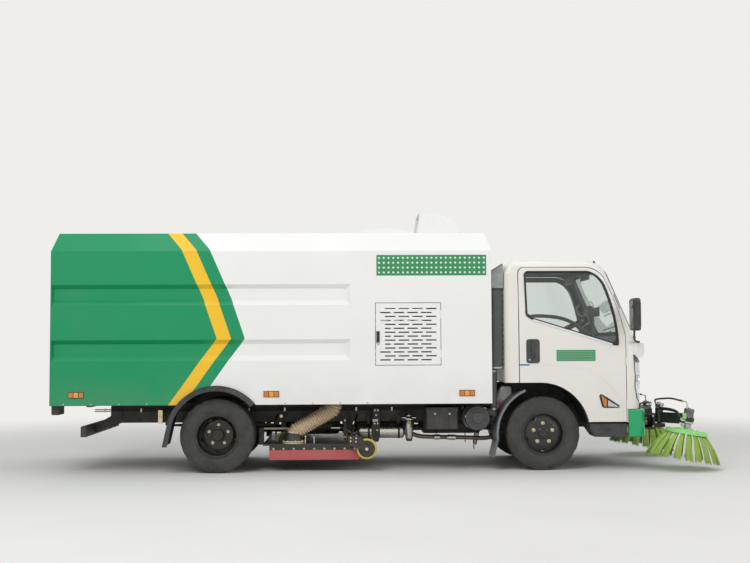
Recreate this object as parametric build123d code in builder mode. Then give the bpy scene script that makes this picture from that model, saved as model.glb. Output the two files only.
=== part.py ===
from build123d import *
from math import cos, radians, sin, sqrt
import os

# Street sweeper truck: a light cab-over chassis with a closed sweeper body, two front brushes and a suction
# nozzle between the axles.
# Frame: +X points forward, +Y to the vehicle's left, +Z up, the origin on the ground under the middle of the
# vehicle. Lengths are millimetres. Pieces that come in pairs are drawn on one side and mirrored.

os.makedirs("parts", exist_ok=True)

# Axles and wheels
rear_axle_x = -1760
wheelbase = 3360
front_axle_x = rear_axle_x + wheelbase
tyre_radius = 380
tyre_width = 196
tread_width = 156
rim_seat_radius = 212
seat_gap = 0.3
front_track = 1530
dual_centre_y = 714
dual_spacing = 232
kingpin_y = 640
spindle_radius = 30
axle_tube_radius = 55
shaft_gap = 0.3

# Ladder frame
rail_outer_y = 375
rail_flange = 65
rail_web = 8
rail_bottom = 485
rail_top = 655
rail_rear_x = rear_axle_x - 1180
cab_rear_x = front_axle_x - 400
cab_length = 1400
cab_front_x = cab_rear_x + cab_length
rail_front_x = cab_front_x - 160
subframe_height = 42
subframe_top = rail_top + subframe_height

# Sweeper body
body_rear_x = rear_axle_x - 1680
body_front_x = front_axle_x - 545
body_half_width = 1000
body_bottom = subframe_top
body_top = 2462
roof_rise = 196
body_shoulder = body_top - roof_rise
roof_inset_y = 150
roof_inset_x = 50
wall = 60
arch_radius = 510
arch_inner_y = 470
arch_wall = 30
subframe_front_x = body_front_x - 25

# Side hatches with louvres
hatch_front_x = body_front_x - 519
hatch_length = 676
hatch_rear_x = hatch_front_x - hatch_length
hatch_bottom = body_bottom + 393
hatch_height = 643
hatch_top = hatch_bottom + hatch_height
hatch_thickness = 40
panel_gap = 6

# The bulkhead parts the debris bin from the engine bay behind the hatches
bulkhead_x = hatch_rear_x - 240

# Side grooves of the body: bottom of the lower slope, groove floor from and to, top of the upper slope
grooves = [(1147, 1201, 1320, 1361), (1713, 1764, 1883, 1925)]
recess_depth = 42
recess_front_x = bulkhead_x - 9

# Rear door
door_thickness = 50
door_bottom = body_bottom + wall
door_top = body_shoulder - 16
door_half_width = body_half_width - 75
hinge_axis_z = body_shoulder - 4

# Cab
cab_half_width = 940
cab_bottom = 494
cab_floor_z = 906
cab_wall = 50
footwell_floor_z = 700
tunnel_front_x = front_axle_x + 475
tunnel_half_width = 430
cab_arch_centre = (front_axle_x - 40, 398)
cab_arch_radius = 508
# Cab rings: height, rear x, front x, half width, front corner radius, rear corner radius
cab_rings = [
    (cab_bottom, cab_rear_x, cab_front_x, cab_half_width, 150, 60),
    (965, cab_rear_x, cab_front_x + 26, cab_half_width, 150, 60),
    (1200, cab_rear_x, cab_front_x + 12, cab_half_width, 150, 60),
    (1395, cab_rear_x, cab_front_x - 44, cab_half_width - 2, 140, 60),
    (2040, cab_rear_x, cab_front_x - 317, cab_half_width - 40, 120, 60),
    (2116, cab_rear_x + 30, cab_front_x - 360, cab_half_width - 54, 110, 60),
    (2168, cab_rear_x + 95, cab_front_x - 455, cab_half_width - 125, 100, 60),
    (2180, cab_rear_x + 220, cab_front_x - 600, cab_half_width - 250, 100, 60),
]
door_rear_x = cab_rear_x + 140
door_front_x = cab_front_x - 145
cab_door_top = 2100
door_gap = 6
door_rear_gap = 9
door_inner_y = 600
flare = 5
glass_inset = 12
glass_thickness = 6
glass_corner = 60

# Bumper
bumper_rear_x = rail_front_x + 30
bumper_front_x = bumper_rear_x + 198
bumper_half_width = cab_half_width + 5
bumper_bottom = 340
bumper_top = 625
bumper_wall = 40

# Front brushes: each turns on a spindle that leans forward, carried by an arm on an upright pivot
arm_pivot = (bumper_front_x + 232, 520)
brush_centre = (arm_pivot[0] + 193, 830)
brush_tilt = 9
brush_plate_z = 366
brush_plate_radius = 225
brush_plate_bevel = 20
brush_plate_height = 40
brush_tip_radius = 392
brush_tip_drop = 270
tuft_count = 20
arm_low = 465
arm_high = 575
arm_thickness = 50
motor_radius = 50
motor_low = brush_plate_height + 12
motor_step = 105
motor_high = 257
pivot_radius = 22
barrel_radius = 42

# Suction nozzle
nozzle_rear_x = rear_axle_x + 461
nozzle_length = 1029
nozzle_front_x = nozzle_rear_x + nozzle_length
nozzle_half_width = 800
nozzle_top = 285
nozzle_bottom = 133
nozzle_wheel_radius = 106
# Nozzle wheels: x, y, z of the left ones
nozzle_wheels = [(nozzle_front_x + 41, 860, 236), (nozzle_rear_x + 224, 470, 290)]
wheel_hub_half = 40
hose_radius = 85
hose_y = 700
hose_low_x = nozzle_rear_x + 314
hose_high_x = hose_low_x + 425


def save(builder, name):
    """Label a finished piece and write it under that name."""
    builder.part.label = name
    export_step(builder.part, f"parts/{name}.step")
    return builder.part


def near_axle(x, z):
    """A point of the side view whose x is measured from the front axle."""
    return front_axle_x + x, z


def near_nose(x, z):
    """A point of the side view whose x is measured from the cab's front, backwards is negative."""
    return cab_front_x + x, z


def near_rear(x, z):
    """A point of the side view whose x is measured from the cab's rear wall."""
    return cab_rear_x + x, z


def block(x, y, z, mode=Mode.ADD):
    """A block between two limits on each axis."""
    with Locations(((x[0] + x[1]) / 2, (y[0] + y[1]) / 2, (z[0] + z[1]) / 2)):
        return Box(x[1] - x[0], y[1] - y[0], z[1] - z[0], mode=mode)


def mirrored(part, name):
    """The other side's twin of a piece, across the vehicle's middle plane."""
    with BuildPart() as twin:
        mirror(part, about=Plane.XZ)
    return save(twin, name)


def side_prism(outline, y_from, y_to):
    """A prism with a closed side outline, between two lateral planes."""
    with BuildPart() as prism:
        with BuildSketch(Plane.XZ.offset(-y_to)):
            with BuildLine():
                outline()
            make_face()
        extrude(amount=y_to - y_from)
    return prism.part


def wheel_plane(x, y):
    """Plane through a wheel's axis: local x runs outward along the axis (+Y), local y is the radius."""
    return Plane(origin=(x, y, tyre_radius), x_dir=(0, 1, 0), z_dir=(1, 0, 0))


def turned(profile, x, y):
    """A solid turned about a wheel's axis from an (axial, radial) outline."""
    with BuildPart() as solid:
        with BuildSketch(wheel_plane(x, y)):
            with BuildLine():
                Polyline(*profile, close=True)
            make_face()
        revolve(axis=Axis((x, y, tyre_radius), (0, 1, 0)))
    return solid.part


# Ladder frame: two channel rails, cross members, the sweeper body's subframe runners and the cab's posts
cross_height = 110
bearing_x = rear_axle_x + 1310
with BuildPart() as chassis_frame:
    with BuildSketch(Plane.YZ.offset(rail_rear_x)):
        with Locations((rail_outer_y - rail_flange / 2, (rail_bottom + rail_top) / 2)):
            Rectangle(rail_flange, rail_top - rail_bottom)
        with Locations((rail_outer_y - rail_web - rail_flange / 2, (rail_bottom + rail_top) / 2)):
            Rectangle(rail_flange, rail_top - rail_bottom - 2 * rail_web, mode=Mode.SUBTRACT)
        mirror(about=Plane.YZ)
    extrude(amount=rail_front_x - rail_rear_x)
    for cross_x in (rail_rear_x + 40, rear_axle_x - 540, rear_axle_x + 610, bearing_x, front_axle_x - 1300,
                    front_axle_x - 520, rail_front_x - 40):
        with BuildSketch(Plane.XZ.offset(-rail_outer_y + rail_web)):
            with Locations((cross_x, (rail_bottom + rail_top) / 2)):
                Rectangle(80, cross_height)
        extrude(amount=2 * (rail_outer_y - rail_web))
    with BuildSketch(Plane.XY.offset(rail_top)):
        for hand in (-1, 1):
            with Locations(((rail_rear_x + subframe_front_x) / 2, hand * (rail_outer_y - rail_flange / 2))):
                Rectangle(subframe_front_x - rail_rear_x, rail_flange - 5)
    extrude(amount=subframe_top - rail_top)
    for post_x, underside in ((cab_rear_x + 40, cab_floor_z), (tunnel_front_x + 80, footwell_floor_z)):
        for hand in (-1, 1):
            block((post_x - 25, post_x + 25), sorted((hand * 318, hand * 372)),
                  (rail_top, underside - shaft_gap))
save(chassis_frame, "chassis_frame")

# Leaf springs: one curved pack per wheel end, hung under the rails by an eye and a shackle
spring_y = rail_outer_y - rail_flange / 2
spring_width = 60
spring_seat_z = tyre_radius + 55
eye_half_height = 45


def leaf_spring(axle_x, half_span, pack):
    """A bowed leaf pack, thickest over the axle, with its eye and shackle reaching the rail."""
    end_z = rail_bottom - 30
    with BuildPart() as spring:
        with BuildSketch(Plane.XZ.offset(-spring_y - spring_width / 2)):
            with BuildLine():
                ThreePointArc((axle_x - half_span, end_z + 8), (axle_x, spring_seat_z + pack),
                              (axle_x + half_span, end_z + 8))
                Line((axle_x + half_span, end_z + 8), (axle_x + half_span, end_z - 8))
                ThreePointArc((axle_x + half_span, end_z - 8), (axle_x, spring_seat_z),
                              (axle_x - half_span, end_z - 8))
                Line((axle_x - half_span, end_z - 8), (axle_x - half_span, end_z + 8))
            make_face()
            for end_x in (axle_x - half_span, axle_x + half_span):
                with Locations((end_x, (end_z + rail_bottom) / 2)):
                    Rectangle(50, rail_bottom - end_z)
        extrude(amount=spring_width)
    return spring.part


# Front axle: a dropped beam under the springs, with the kingpin eyes at its ends
with BuildPart() as front_axle:
    with BuildSketch(Plane.YZ.offset(front_axle_x - 35)):
        with BuildLine():
            Polyline(
                (-kingpin_y, tyre_radius - 40), (-kingpin_y, tyre_radius + 40),
                (-kingpin_y + 45, tyre_radius + 40), (-470, spring_seat_z - 60), (470, spring_seat_z - 60),
                (kingpin_y - 45, tyre_radius + 40), (kingpin_y, tyre_radius + 40),
                (kingpin_y, tyre_radius - 40), (kingpin_y - 60, tyre_radius - 40), (470, tyre_radius - 80),
                (-470, tyre_radius - 80), (-kingpin_y + 60, tyre_radius - 40), close=True,
            )
        make_face()
    extrude(amount=70)
    for hand in (-1, 1):
        with Locations((front_axle_x, hand * kingpin_y, tyre_radius)):
            Cylinder(30, 2 * eye_half_height)
        block((front_axle_x - 60, front_axle_x + 60), (hand * spring_y - 32, hand * spring_y + 32),
              (spring_seat_z - 62, spring_seat_z + 2))
    add(leaf_spring(front_axle_x, 560, 30))
    mirror(about=Plane.XZ)
save(front_axle, "front_axle")

# Rear axle: tube, differential bowl with its pinion nose, and the rear springs
with BuildPart() as rear_axle:
    with Locations(Location((rear_axle_x, 0, tyre_radius), (90, 0, 0))):
        Cylinder(axle_tube_radius, 2 * 690)
        Cylinder(165, 190)
    with Locations(Location((rear_axle_x + 150, 0, tyre_radius + 15), (0, 90, 0))):
        Cylinder(75, 260)
    for hand in (-1, 1):
        block((rear_axle_x - 60, rear_axle_x + 60), (hand * spring_y - 32, hand * spring_y + 32),
              (tyre_radius + 20, spring_seat_z + 2))
    add(leaf_spring(rear_axle_x, 580, 45))
    mirror(about=Plane.XZ)
save(rear_axle, "rear_axle")

# Propeller shaft from the gearbox to the rear axle, with its centre bearing hung from a cross member
shaft_z = tyre_radius + 15
shaft_rear_x = rear_axle_x + 280 + 1
gearbox_rear_x = front_axle_x - 449
with BuildPart() as drive_shaft:
    for start, end, radius in ((shaft_rear_x, bearing_x - 20, 42), (bearing_x + 20, gearbox_rear_x - 1, 34)):
        with Locations(Location(((start + end) / 2, 0, shaft_z), (0, 90, 0))):
            Cylinder(radius, end - start)
    block((bearing_x - 30, bearing_x + 30), (-90, 90), (shaft_z - 50, shaft_z + 50))
    block((bearing_x - 30, bearing_x + 30), (-70, 70),
          (shaft_z + 50, (rail_bottom + rail_top - cross_height) / 2))
save(drive_shaft, "drive_shaft")

# Engines: the driving engine and gearbox between the rails, and the sweeper's own engine in the body's front
# bay
engine_half_width = 290
with BuildPart() as engines:
    block((gearbox_rear_x + 9, tunnel_front_x - 85), (-engine_half_width, engine_half_width),
          (rail_bottom - 15, cab_floor_z - 26))
    block((gearbox_rear_x, gearbox_rear_x + 249), (-140, 140), (320, rail_bottom - 15))
    for mount_x in (front_axle_x - 300, front_axle_x + 250):
        for hand in (-1, 1):
            block((mount_x - 30, mount_x + 30),
                  sorted((hand * (engine_half_width - 1), hand * (rail_outer_y - rail_web))), (550, 600))
    block((body_front_x - 1115, body_front_x - 335), (-420, 420), (body_bottom + wall, 1560))
save(engines, "engine_blocks")

# Wheels. Tyres are plain turned rings, the road tread is not cut
tyre_section = [
    (-tread_width / 2, tyre_radius), (tread_width / 2, tyre_radius), (tyre_width / 2, 325),
    (84, rim_seat_radius), (-84, rim_seat_radius), (-tyre_width / 2, 325),
]
inner_tyre_section = [(-94, tyre_radius), (94, tyre_radius), (84, rim_seat_radius), (-84, rim_seat_radius)]
rim_radius = rim_seat_radius - seat_gap
well_radius = rim_seat_radius - 10
drum_radius = 184
front_rim_section = [
    (-60, spindle_radius + shaft_gap), (-60, drum_radius), (20, drum_radius), (20, well_radius),
    (-84, well_radius), (-84, rim_radius), (86.5, rim_radius), (86.5, 222), (94, 222), (94, 202), (46, 196),
    (64, 128), (64, 48), (94, 44), (94, 0), (70, 0),
    (70, spindle_radius + shaft_gap),
]
tube_bore = axle_tube_radius + shaft_gap
rear_rim_section = [
    (-dual_spacing / 2 - 60, tube_bore), (-dual_spacing / 2 - 60, drum_radius), (-20, drum_radius),
    (-20, well_radius), (-dual_spacing / 2 - 84, well_radius), (-dual_spacing / 2 - 84, rim_radius),
    (dual_spacing / 2 + 86.5, rim_radius),
    (dual_spacing / 2 + 86.5, 222), (dual_spacing / 2 + 94, 222), (dual_spacing / 2 + 94, 202), (60, 196),
    (20, 150), (20, 62), (95, 55), (95, 0), (0, 0), (0, tube_bore),
]


hole_circle = 174


def hand_holes(x, y, from_axial, to_axial):
    """The ring of five oval ventilation holes in a wheel disc, as a cutting tool."""
    with BuildPart() as holes:
        for turn in range(5):
            angle = radians(90 + 36 + 72 * turn)
            hole_x, hole_z = x + hole_circle * cos(angle), tyre_radius + hole_circle * sin(angle)
            with BuildSketch(Plane(origin=(hole_x, y + from_axial, hole_z),
                                   x_dir=(-sin(angle), 0, cos(angle)), z_dir=(0, 1, 0))):
                SlotOverall(46, 26)
            extrude(amount=to_axial - from_axial)
    return holes.part


front_wheel_y = front_track / 2
with BuildPart() as front_tyre:
    add(turned(tyre_section, front_axle_x, front_wheel_y))
save(front_tyre, "front_tyre_left")
mirrored(front_tyre.part, "front_tyre_right")

with BuildPart() as front_rim:
    add(turned(front_rim_section, front_axle_x, front_wheel_y))
    add(hand_holes(front_axle_x, front_wheel_y, 10, 100), mode=Mode.SUBTRACT)
save(front_rim, "front_rim_left")
mirrored(front_rim.part, "front_rim_right")

with BuildPart() as rear_tyres:
    add(turned(tyre_section, rear_axle_x, dual_centre_y + dual_spacing / 2))
    add(turned(inner_tyre_section, rear_axle_x, dual_centre_y - dual_spacing / 2))
save(rear_tyres, "rear_tyres_left")
mirrored(rear_tyres.part, "rear_tyres_right")

with BuildPart() as rear_rim:
    add(turned(rear_rim_section, rear_axle_x, dual_centre_y))
    add(hand_holes(rear_axle_x, dual_centre_y, -30, 100), mode=Mode.SUBTRACT)
save(rear_rim, "rear_rim_left")
mirrored(rear_rim.part, "rear_rim_right")

# Steering knuckles: a forged upright round the axle's eye, with the spindle and the steering arm
with BuildPart() as knuckle:
    for low, high in ((eye_half_height + shaft_gap, 90), (-90, -eye_half_height - shaft_gap)):
        block((front_axle_x - 30, front_axle_x + 30), (kingpin_y - 28, kingpin_y + 36),
              (tyre_radius + low, tyre_radius + high))
    block((front_axle_x - 45, front_axle_x + 45), (kingpin_y + 36, kingpin_y + 62),
          (tyre_radius - 90, tyre_radius + 90))
    with Locations(Location((front_axle_x, kingpin_y + 62 + 60, tyre_radius), (90, 0, 0))):
        Cylinder(spindle_radius, 130)
    block((front_axle_x - 170, front_axle_x - 30), (kingpin_y - 28, kingpin_y + 4),
          (tyre_radius - 88, tyre_radius - 62))
save(knuckle, "knuckle_left")
mirrored(knuckle.part, "knuckle_right")


# Sweeper body: one folded shell with two long grooves in each side
def body_outline(inset):
    """The body's cross-section, taken in by an inset."""
    half = body_half_width - inset
    return [
        (-half, body_bottom + inset), (-half, body_shoulder), (-half + roof_inset_y, body_top - inset),
        (half - roof_inset_y, body_top - inset), (half, body_shoulder), (half, body_bottom + inset),
    ]


def body_prism(inset, x_from, x_to):
    """The body's cross-section, taken in by an inset, between two stations."""
    with BuildPart() as prism:
        with BuildSketch(Plane.YZ.offset(x_from)):
            with BuildLine():
                Polyline(*body_outline(inset), close=True)
            make_face()
        extrude(amount=x_to - x_from)
    return prism.part


# Rear door hinges: knuckle pairs on the top edge, one half on the door and one on the body
hinge_axis_x = body_rear_x - 18
hinge_stations = (-640, 0, 640)


def door_knuckle(knuckle_y, on_door):
    """One half of a rear hinge: a barrel on the axis and the strap that carries it."""
    y = (knuckle_y - 60, knuckle_y) if on_door else (knuckle_y + shaft_gap, knuckle_y + 60)
    z = (hinge_axis_z - 90, hinge_axis_z) if on_door else (hinge_axis_z, hinge_axis_z + 50)
    block((hinge_axis_x, body_rear_x), y, z)
    with Locations(Location((hinge_axis_x, (y[0] + y[1]) / 2, hinge_axis_z), (90, 0, 0))):
        Cylinder(12, y[1] - y[0])


bay_front_x = body_front_x - wall
bin_form = body_prism(wall, body_rear_x + wall, bulkhead_x - wall)
bay_form = body_prism(wall, bulkhead_x, bay_front_x)

with BuildPart() as wheel_housing:
    with Locations(Location((rear_axle_x, -(arch_inner_y + body_half_width) / 2, tyre_radius), (90, 0, 0))):
        Cylinder(arch_radius + arch_wall, body_half_width - arch_inner_y)
    block((rear_axle_x - 600, rear_axle_x + 600), (-body_half_width, -arch_inner_y + 1),
          (-400, body_bottom), mode=Mode.SUBTRACT)
    mirror(about=Plane.XZ)

with BuildPart() as body_shell:
    add(body_prism(0, body_rear_x, body_front_x))
    # hipped ends: the roof strip slopes in at the front and the rear
    with BuildSketch(Plane.XZ.offset(-body_half_width - 1)):
        for end_x, inward in ((body_rear_x, 1), (body_front_x, -1)):
            with BuildLine():
                Polyline((end_x, body_shoulder), (end_x + inward * roof_inset_x, body_top),
                         (end_x, body_top), close=True)
            make_face()
    extrude(amount=2 * body_half_width + 2, mode=Mode.SUBTRACT)
    # side grooves with sloping flanks and a slanted front end
    for low, floor_low, floor_high, high in grooves:
        for hand in (-1, 1):
            with BuildSketch(Plane.XZ.offset(hand * body_half_width)):
                with BuildLine():
                    Polyline((body_rear_x + 12, low), (recess_front_x, low), (recess_front_x, high),
                             (body_rear_x + 12, high), close=True)
                make_face()
            with BuildSketch(Plane.XZ.offset(hand * (body_half_width - recess_depth))):
                with BuildLine():
                    Polyline((body_rear_x + 30, floor_low), (recess_front_x - 50, floor_low),
                             (recess_front_x - 50, floor_high), (body_rear_x + 30, floor_high), close=True)
                make_face()
            loft(mode=Mode.SUBTRACT)
    add(bin_form, mode=Mode.SUBTRACT)
    add(bay_form, mode=Mode.SUBTRACT)
    rear_frame = door_half_width + panel_gap
    block((body_rear_x - 10, body_rear_x + wall + 10), (-rear_frame, rear_frame),
          (door_bottom, door_top + panel_gap), mode=Mode.SUBTRACT)
    add(wheel_housing.part)
    for hand in (-1, 1):
        with Locations(Location((rear_axle_x, hand * (arch_inner_y + arch_wall + body_half_width + 5) / 2,
                                 tyre_radius), (90, 0, 0))):
            Cylinder(arch_radius, body_half_width + 5 - arch_inner_y - arch_wall, mode=Mode.SUBTRACT)
        # opening for the side hatch
        through = (hand * body_half_width - wall - 5, hand * body_half_width + wall + 5)
        block((hatch_rear_x, hatch_front_x), through, (hatch_bottom, hatch_top), mode=Mode.SUBTRACT)
    for knuckle_y in hinge_stations:
        door_knuckle(knuckle_y, 0)
save(body_shell, "body_shell")

# Rear door: a ribbed panel that hangs from the roof's edge and swings up and back
rear_door_x = body_rear_x
with BuildPart() as rear_door:
    with BuildSketch(Plane.YZ.offset(rear_door_x)):
        with BuildLine():
            Polyline((-door_half_width, door_bottom + panel_gap), (-door_half_width, door_top),
                     (door_half_width, door_top), (door_half_width, door_bottom + panel_gap), close=True)
        make_face()
    extrude(amount=door_thickness)
    for rib_y in (-620, -210, 210, 620):
        with BuildSketch(Plane.XZ.offset(-rib_y - 30)):
            with BuildLine():
                Polyline((rear_door_x, door_bottom + 60), (rear_door_x - 25, door_bottom + 100),
                         (rear_door_x - 25, door_top - 120), (rear_door_x, door_top - 80), close=True)
            make_face()
        extrude(amount=60)
    for knuckle_y in hinge_stations:
        door_knuckle(knuckle_y, 1)
save(rear_door, "rear_door")


def edge_barrel(x, y, z):
    """A slim hinge barrel standing on the outer front edge of a side door or hatch."""
    with Locations((x, y, z + 40)):
        Cylinder(3.8, 80)
    block((x - 9, x), (y, y + 6), (z, z + 80))


# Side hatches: a framed door with staggered louvre slots
def louvres():
    """Fourteen staggered rows of four slots, as a cutting tool; rows beside the handle start further in."""
    slot_length, slot_height, pitch_x, pitch_z, stagger = 108, 13, 140, 40.3, 50
    first_x, first_z = hatch_rear_x + 100, hatch_top - 62
    with BuildPart() as slots:
        with BuildSketch(Plane.XZ.offset(body_half_width - hatch_thickness - 10)):
            for row in range(14):
                for column in range(4):
                    start = first_x + column * pitch_x - (stagger if row % 2 else 0)
                    beside_handle = row in (5, 7, 9) and column == 0
                    length = slot_length - stagger if beside_handle else slot_length
                    start = start + stagger if beside_handle else start
                    with Locations((start + length / 2, first_z - row * pitch_z)):
                        Rectangle(length, slot_height)
        extrude(amount=hatch_thickness + 20)
    return slots.part


with BuildPart() as hatch:
    block((hatch_rear_x + panel_gap, hatch_front_x - panel_gap),
          (-body_half_width, -body_half_width + hatch_thickness),
          (hatch_bottom + panel_gap, hatch_top - panel_gap))
    add(louvres(), mode=Mode.SUBTRACT)
    for barrel_z in (hatch_bottom + 80, hatch_top - 160):
        edge_barrel(hatch_front_x - panel_gap / 2, -body_half_width - 3, barrel_z)
save(hatch, "side_hatch_right")
mirrored(hatch.part, "side_hatch_left")

# Rear wheel fenders: a curved sheet over the twin tyres, ending in a straight mud flap, with an outer lip
fender_outer = arch_radius - seat_gap
fender_sheet = 12
flap_end = (rear_axle_x - 530, tyre_radius - 102)
fender_width = (arch_inner_y + arch_wall + 8, body_half_width + 35)


def fender_outline(outer, inner):
    """Side outline of the fender band between two radii, with the flap at its rear."""
    start, end = radians(40.5), radians(160)
    middle = (start + end) / 2
    centre_x, centre_z = rear_axle_x, tyre_radius

    def point(radius, angle):
        return centre_x + radius * cos(angle), centre_z + radius * sin(angle)

    ThreePointArc(point(outer, start), point(outer, middle), point(outer, end))
    flap_x, flap_z = flap_end[0] - fender_sheet, flap_end[1]
    Polyline(point(outer, end), (flap_x, flap_z), (flap_x + outer - inner, flap_z), point(inner, end))
    ThreePointArc(point(inner, end), point(inner, middle), point(inner, start))
    Line(point(inner, start), point(outer, start))


with BuildPart() as fenders:
    with BuildSketch(Plane.XZ.offset(fender_width[0])):
        with BuildLine():
            fender_outline(fender_outer, fender_outer - fender_sheet)
        make_face()
    extrude(amount=fender_width[1] - fender_width[0])
    with BuildSketch(Plane.XZ.offset(fender_width[1] - 12)):
        with BuildLine():
            fender_outline(fender_outer, fender_outer - 50)
        make_face()
    extrude(amount=12)
    mirror(about=Plane.XZ)
save(fenders, "rear_fenders")

# Rear underrun guard on two bent brackets behind the rails
guard_front_x = rail_rear_x - 156
guard_plate = 12
with BuildPart() as underrun:
    for hand in (-1, 1):
        with BuildSketch(Plane.XZ.offset(-hand * rail_outer_y - (guard_plate if hand > 0 else 0))):
            with BuildLine():
                Polyline((rail_rear_x, rail_top), (rail_rear_x + 120, rail_top),
                         (rail_rear_x + 120, rail_bottom + 15), (guard_front_x, rail_bottom - 100),
                         (guard_front_x, rail_bottom - 15), (rail_rear_x, rail_top - 95), close=True)
            make_face()
        extrude(amount=guard_plate)
    block((guard_front_x - 53, guard_front_x), (-body_half_width + 120, body_half_width - 120), (374, 481))
save(underrun, "rear_underrun")


# Planes well clear of the cab, for cutting tools: above it, below it, ahead of it and beside it
cab_clear_z = 2300
below_z = 300
cab_clear_x = cab_front_x + 200
beside_y = cab_half_width + 160


# Cab: ruled rings of rounded rectangles, hollowed by the same form taken in by the wall
def cab_form(inset):
    """The cab's outer form, taken in (or out) by an inset."""
    with BuildPart() as form:
        for height, rear, front, half, front_r, rear_r in cab_rings:
            top = height == cab_rings[-1][0]
            with BuildSketch(Plane.XY.offset(height - (inset if top or height > 2150 else 0))) as ring:
                with Locations(((rear + front) / 2, 0)):
                    Rectangle(front - rear - 2 * inset, 2 * (half - inset))
                fillet(ring.vertices().group_by(Axis.X)[-1], front_r - inset / 2)
                fillet(ring.vertices().group_by(Axis.X)[0], rear_r - inset / 2)
        loft(ruled=True)
    return form.part


def cab_door_outline(gap, rear_gap):
    """Side outline of the cab door: over the arch, up the rear edge, along the roof, down the pillar."""
    x0, x1, top = door_rear_x + rear_gap, door_front_x - gap, cab_door_top - gap
    arch_r = cab_arch_radius
    ax, az = cab_arch_centre
    foot_z = cab_bottom + gap
    foot_x = ax + sqrt(arch_r ** 2 - (foot_z - az) ** 2)
    arch_mid = (ax + arch_r * cos(radians(50)), az + arch_r * sin(radians(50)))
    corner = 60
    corner_mid = corner * (1 - cos(radians(45)))
    roof_end = near_nose(-535 - gap, top)
    pillar_top = near_nose(-355 - gap, 1985)
    Line((ax, az + arch_r), (x0, az + arch_r))
    Line((x0, az + arch_r), (x0, top - corner))
    ThreePointArc((x0, top - corner), (x0 + corner_mid, top - corner_mid), (x0 + corner, top))
    Line((x0 + corner, top), roof_end)
    ThreePointArc(roof_end, near_nose(-427 - gap, 2062 - gap), pillar_top)
    ThreePointArc(pillar_top, near_nose(-224 - gap, 1681), (x1, 1368))
    Line((x1, 1368), (x1, foot_z))
    Line((x1, foot_z), (foot_x, foot_z))
    ThreePointArc((foot_x, foot_z), arch_mid, (ax, az + arch_r))


def cab_window(gap):
    """The door window as a cutting tool: its sill falls towards the front and its top follows the pillar."""
    with BuildPart() as pane:
        with BuildSketch(Plane.XZ.offset(door_inner_y)) as opening:
            with BuildLine():
                rear_low, rear_top = near_rear(232 + gap, 1600 + gap), near_rear(220 + gap, 2045 - gap)
                front_top, pillar_top = near_nose(-529, 2045 - gap), near_nose(-361 - gap, 1900)
                front_low, front_foot = near_nose(-234 - gap, 1312 + gap), near_nose(-256 - gap, 1298 + gap)
                sill = near_rear(290, 1566 + gap)
                Polyline(sill, rear_low, rear_top, front_top)
                ThreePointArc(front_top, near_nose(-421 - gap, 1985 - gap), pillar_top)
                ThreePointArc(pillar_top, near_nose(-301 - gap, 1727), front_low)
                Polyline(front_low, front_foot, sill)
            make_face()
            fillet(opening.vertices().sort_by(Axis.X)[:2], 30)
        extrude(amount=500)
    return pane.part


def flare_outline():
    """Side outline of the raised band along the cab's lower edge and over its wheel arch."""
    Polyline(near_axle(440, 1040), near_axle(150, 1075), near_rear(-50, 1075), near_rear(-50, 450),
             (door_front_x - 40, 450), (door_front_x - 40, 640))
    ThreePointArc((door_front_x - 40, 640), near_axle(700, 838), near_axle(440, 1040))


def cab_cavity_outline():
    """Side outline of the room inside the cab: the floor follows the wheel arch down into the footwell."""
    floor = cab_floor_z + cab_wall
    low_floor = footwell_floor_z + cab_wall
    ax, az = cab_arch_centre
    wall_radius = floor - az
    reach = sqrt(wall_radius ** 2 - (low_floor - az) ** 2)
    middle = radians(65)
    Polyline((ax, floor), (cab_rear_x, floor), (cab_rear_x, cab_clear_z), (cab_clear_x, cab_clear_z),
             (cab_clear_x, low_floor), (ax + reach, low_floor))
    ThreePointArc((ax + reach, low_floor), (ax + wall_radius * cos(middle), az + wall_radius * sin(middle)),
                  (ax, floor))


def cab_underside_outline():
    """Side outline of what is open below the cab's floor, with the wheel arch's curve."""
    ax, az = cab_arch_centre
    foot_x = ax + sqrt(cab_arch_radius ** 2 - (cab_bottom - az) ** 2)
    arch_mid = (ax + cab_arch_radius * cos(radians(50)), az + cab_arch_radius * sin(radians(50)))
    behind_x = cab_rear_x - 50
    Polyline((foot_x, cab_bottom), (foot_x, below_z), (behind_x, below_z), (behind_x, cab_floor_z),
             (ax, cab_floor_z))
    ThreePointArc((ax, cab_floor_z), arch_mid, (foot_x, cab_bottom))


windscreen_outline = [(-790, 1425), (-735, 2070), (735, 2070), (790, 1425)]
rear_window = (1120, 400, 1710)
cab_outer = cab_form(0)
cab_inner = cab_form(cab_wall)
# Headlamp in the side view, x from the cab's front: pointed at the top rear, rounded down to the front
lamp_outline = [(-56, 1180), (-49, 821), (-34, 738), (6, 688), (100, 688), (100, 1028)]
lamp_inner_y = 620
lamp_proud = 3


def headlamp_zone(gap):
    """The corner blocks of the cab that the headlamps fill, grown by a gap."""
    with BuildPart() as zone:
        with BuildSketch(Plane.XZ.offset(lamp_inner_y - gap)):
            with BuildLine():
                Polyline(*[near_nose(x, z) for x, z in lamp_outline], close=True)
            make_face()
            if gap:
                offset(amount=gap, kind=Kind.INTERSECTION)
        extrude(amount=cab_half_width - lamp_inner_y + 2 * gap)
        mirror(about=Plane.XZ)
    return zone.part


lamp_pockets = headlamp_zone(seat_gap)
with BuildPart() as headlamps:
    add(cab_form(-lamp_proud))
    add(cab_form(cab_wall), mode=Mode.SUBTRACT)
    add(headlamp_zone(0), mode=Mode.INTERSECT)
save(headlamps, "headlamps")
door_hole_right = side_prism(lambda: cab_door_outline(0, 0), -beside_y, -door_inner_y)
cavity_prism = side_prism(cab_cavity_outline, -beside_y, beside_y)
underside = side_prism(cab_underside_outline, -beside_y, beside_y)

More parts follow.
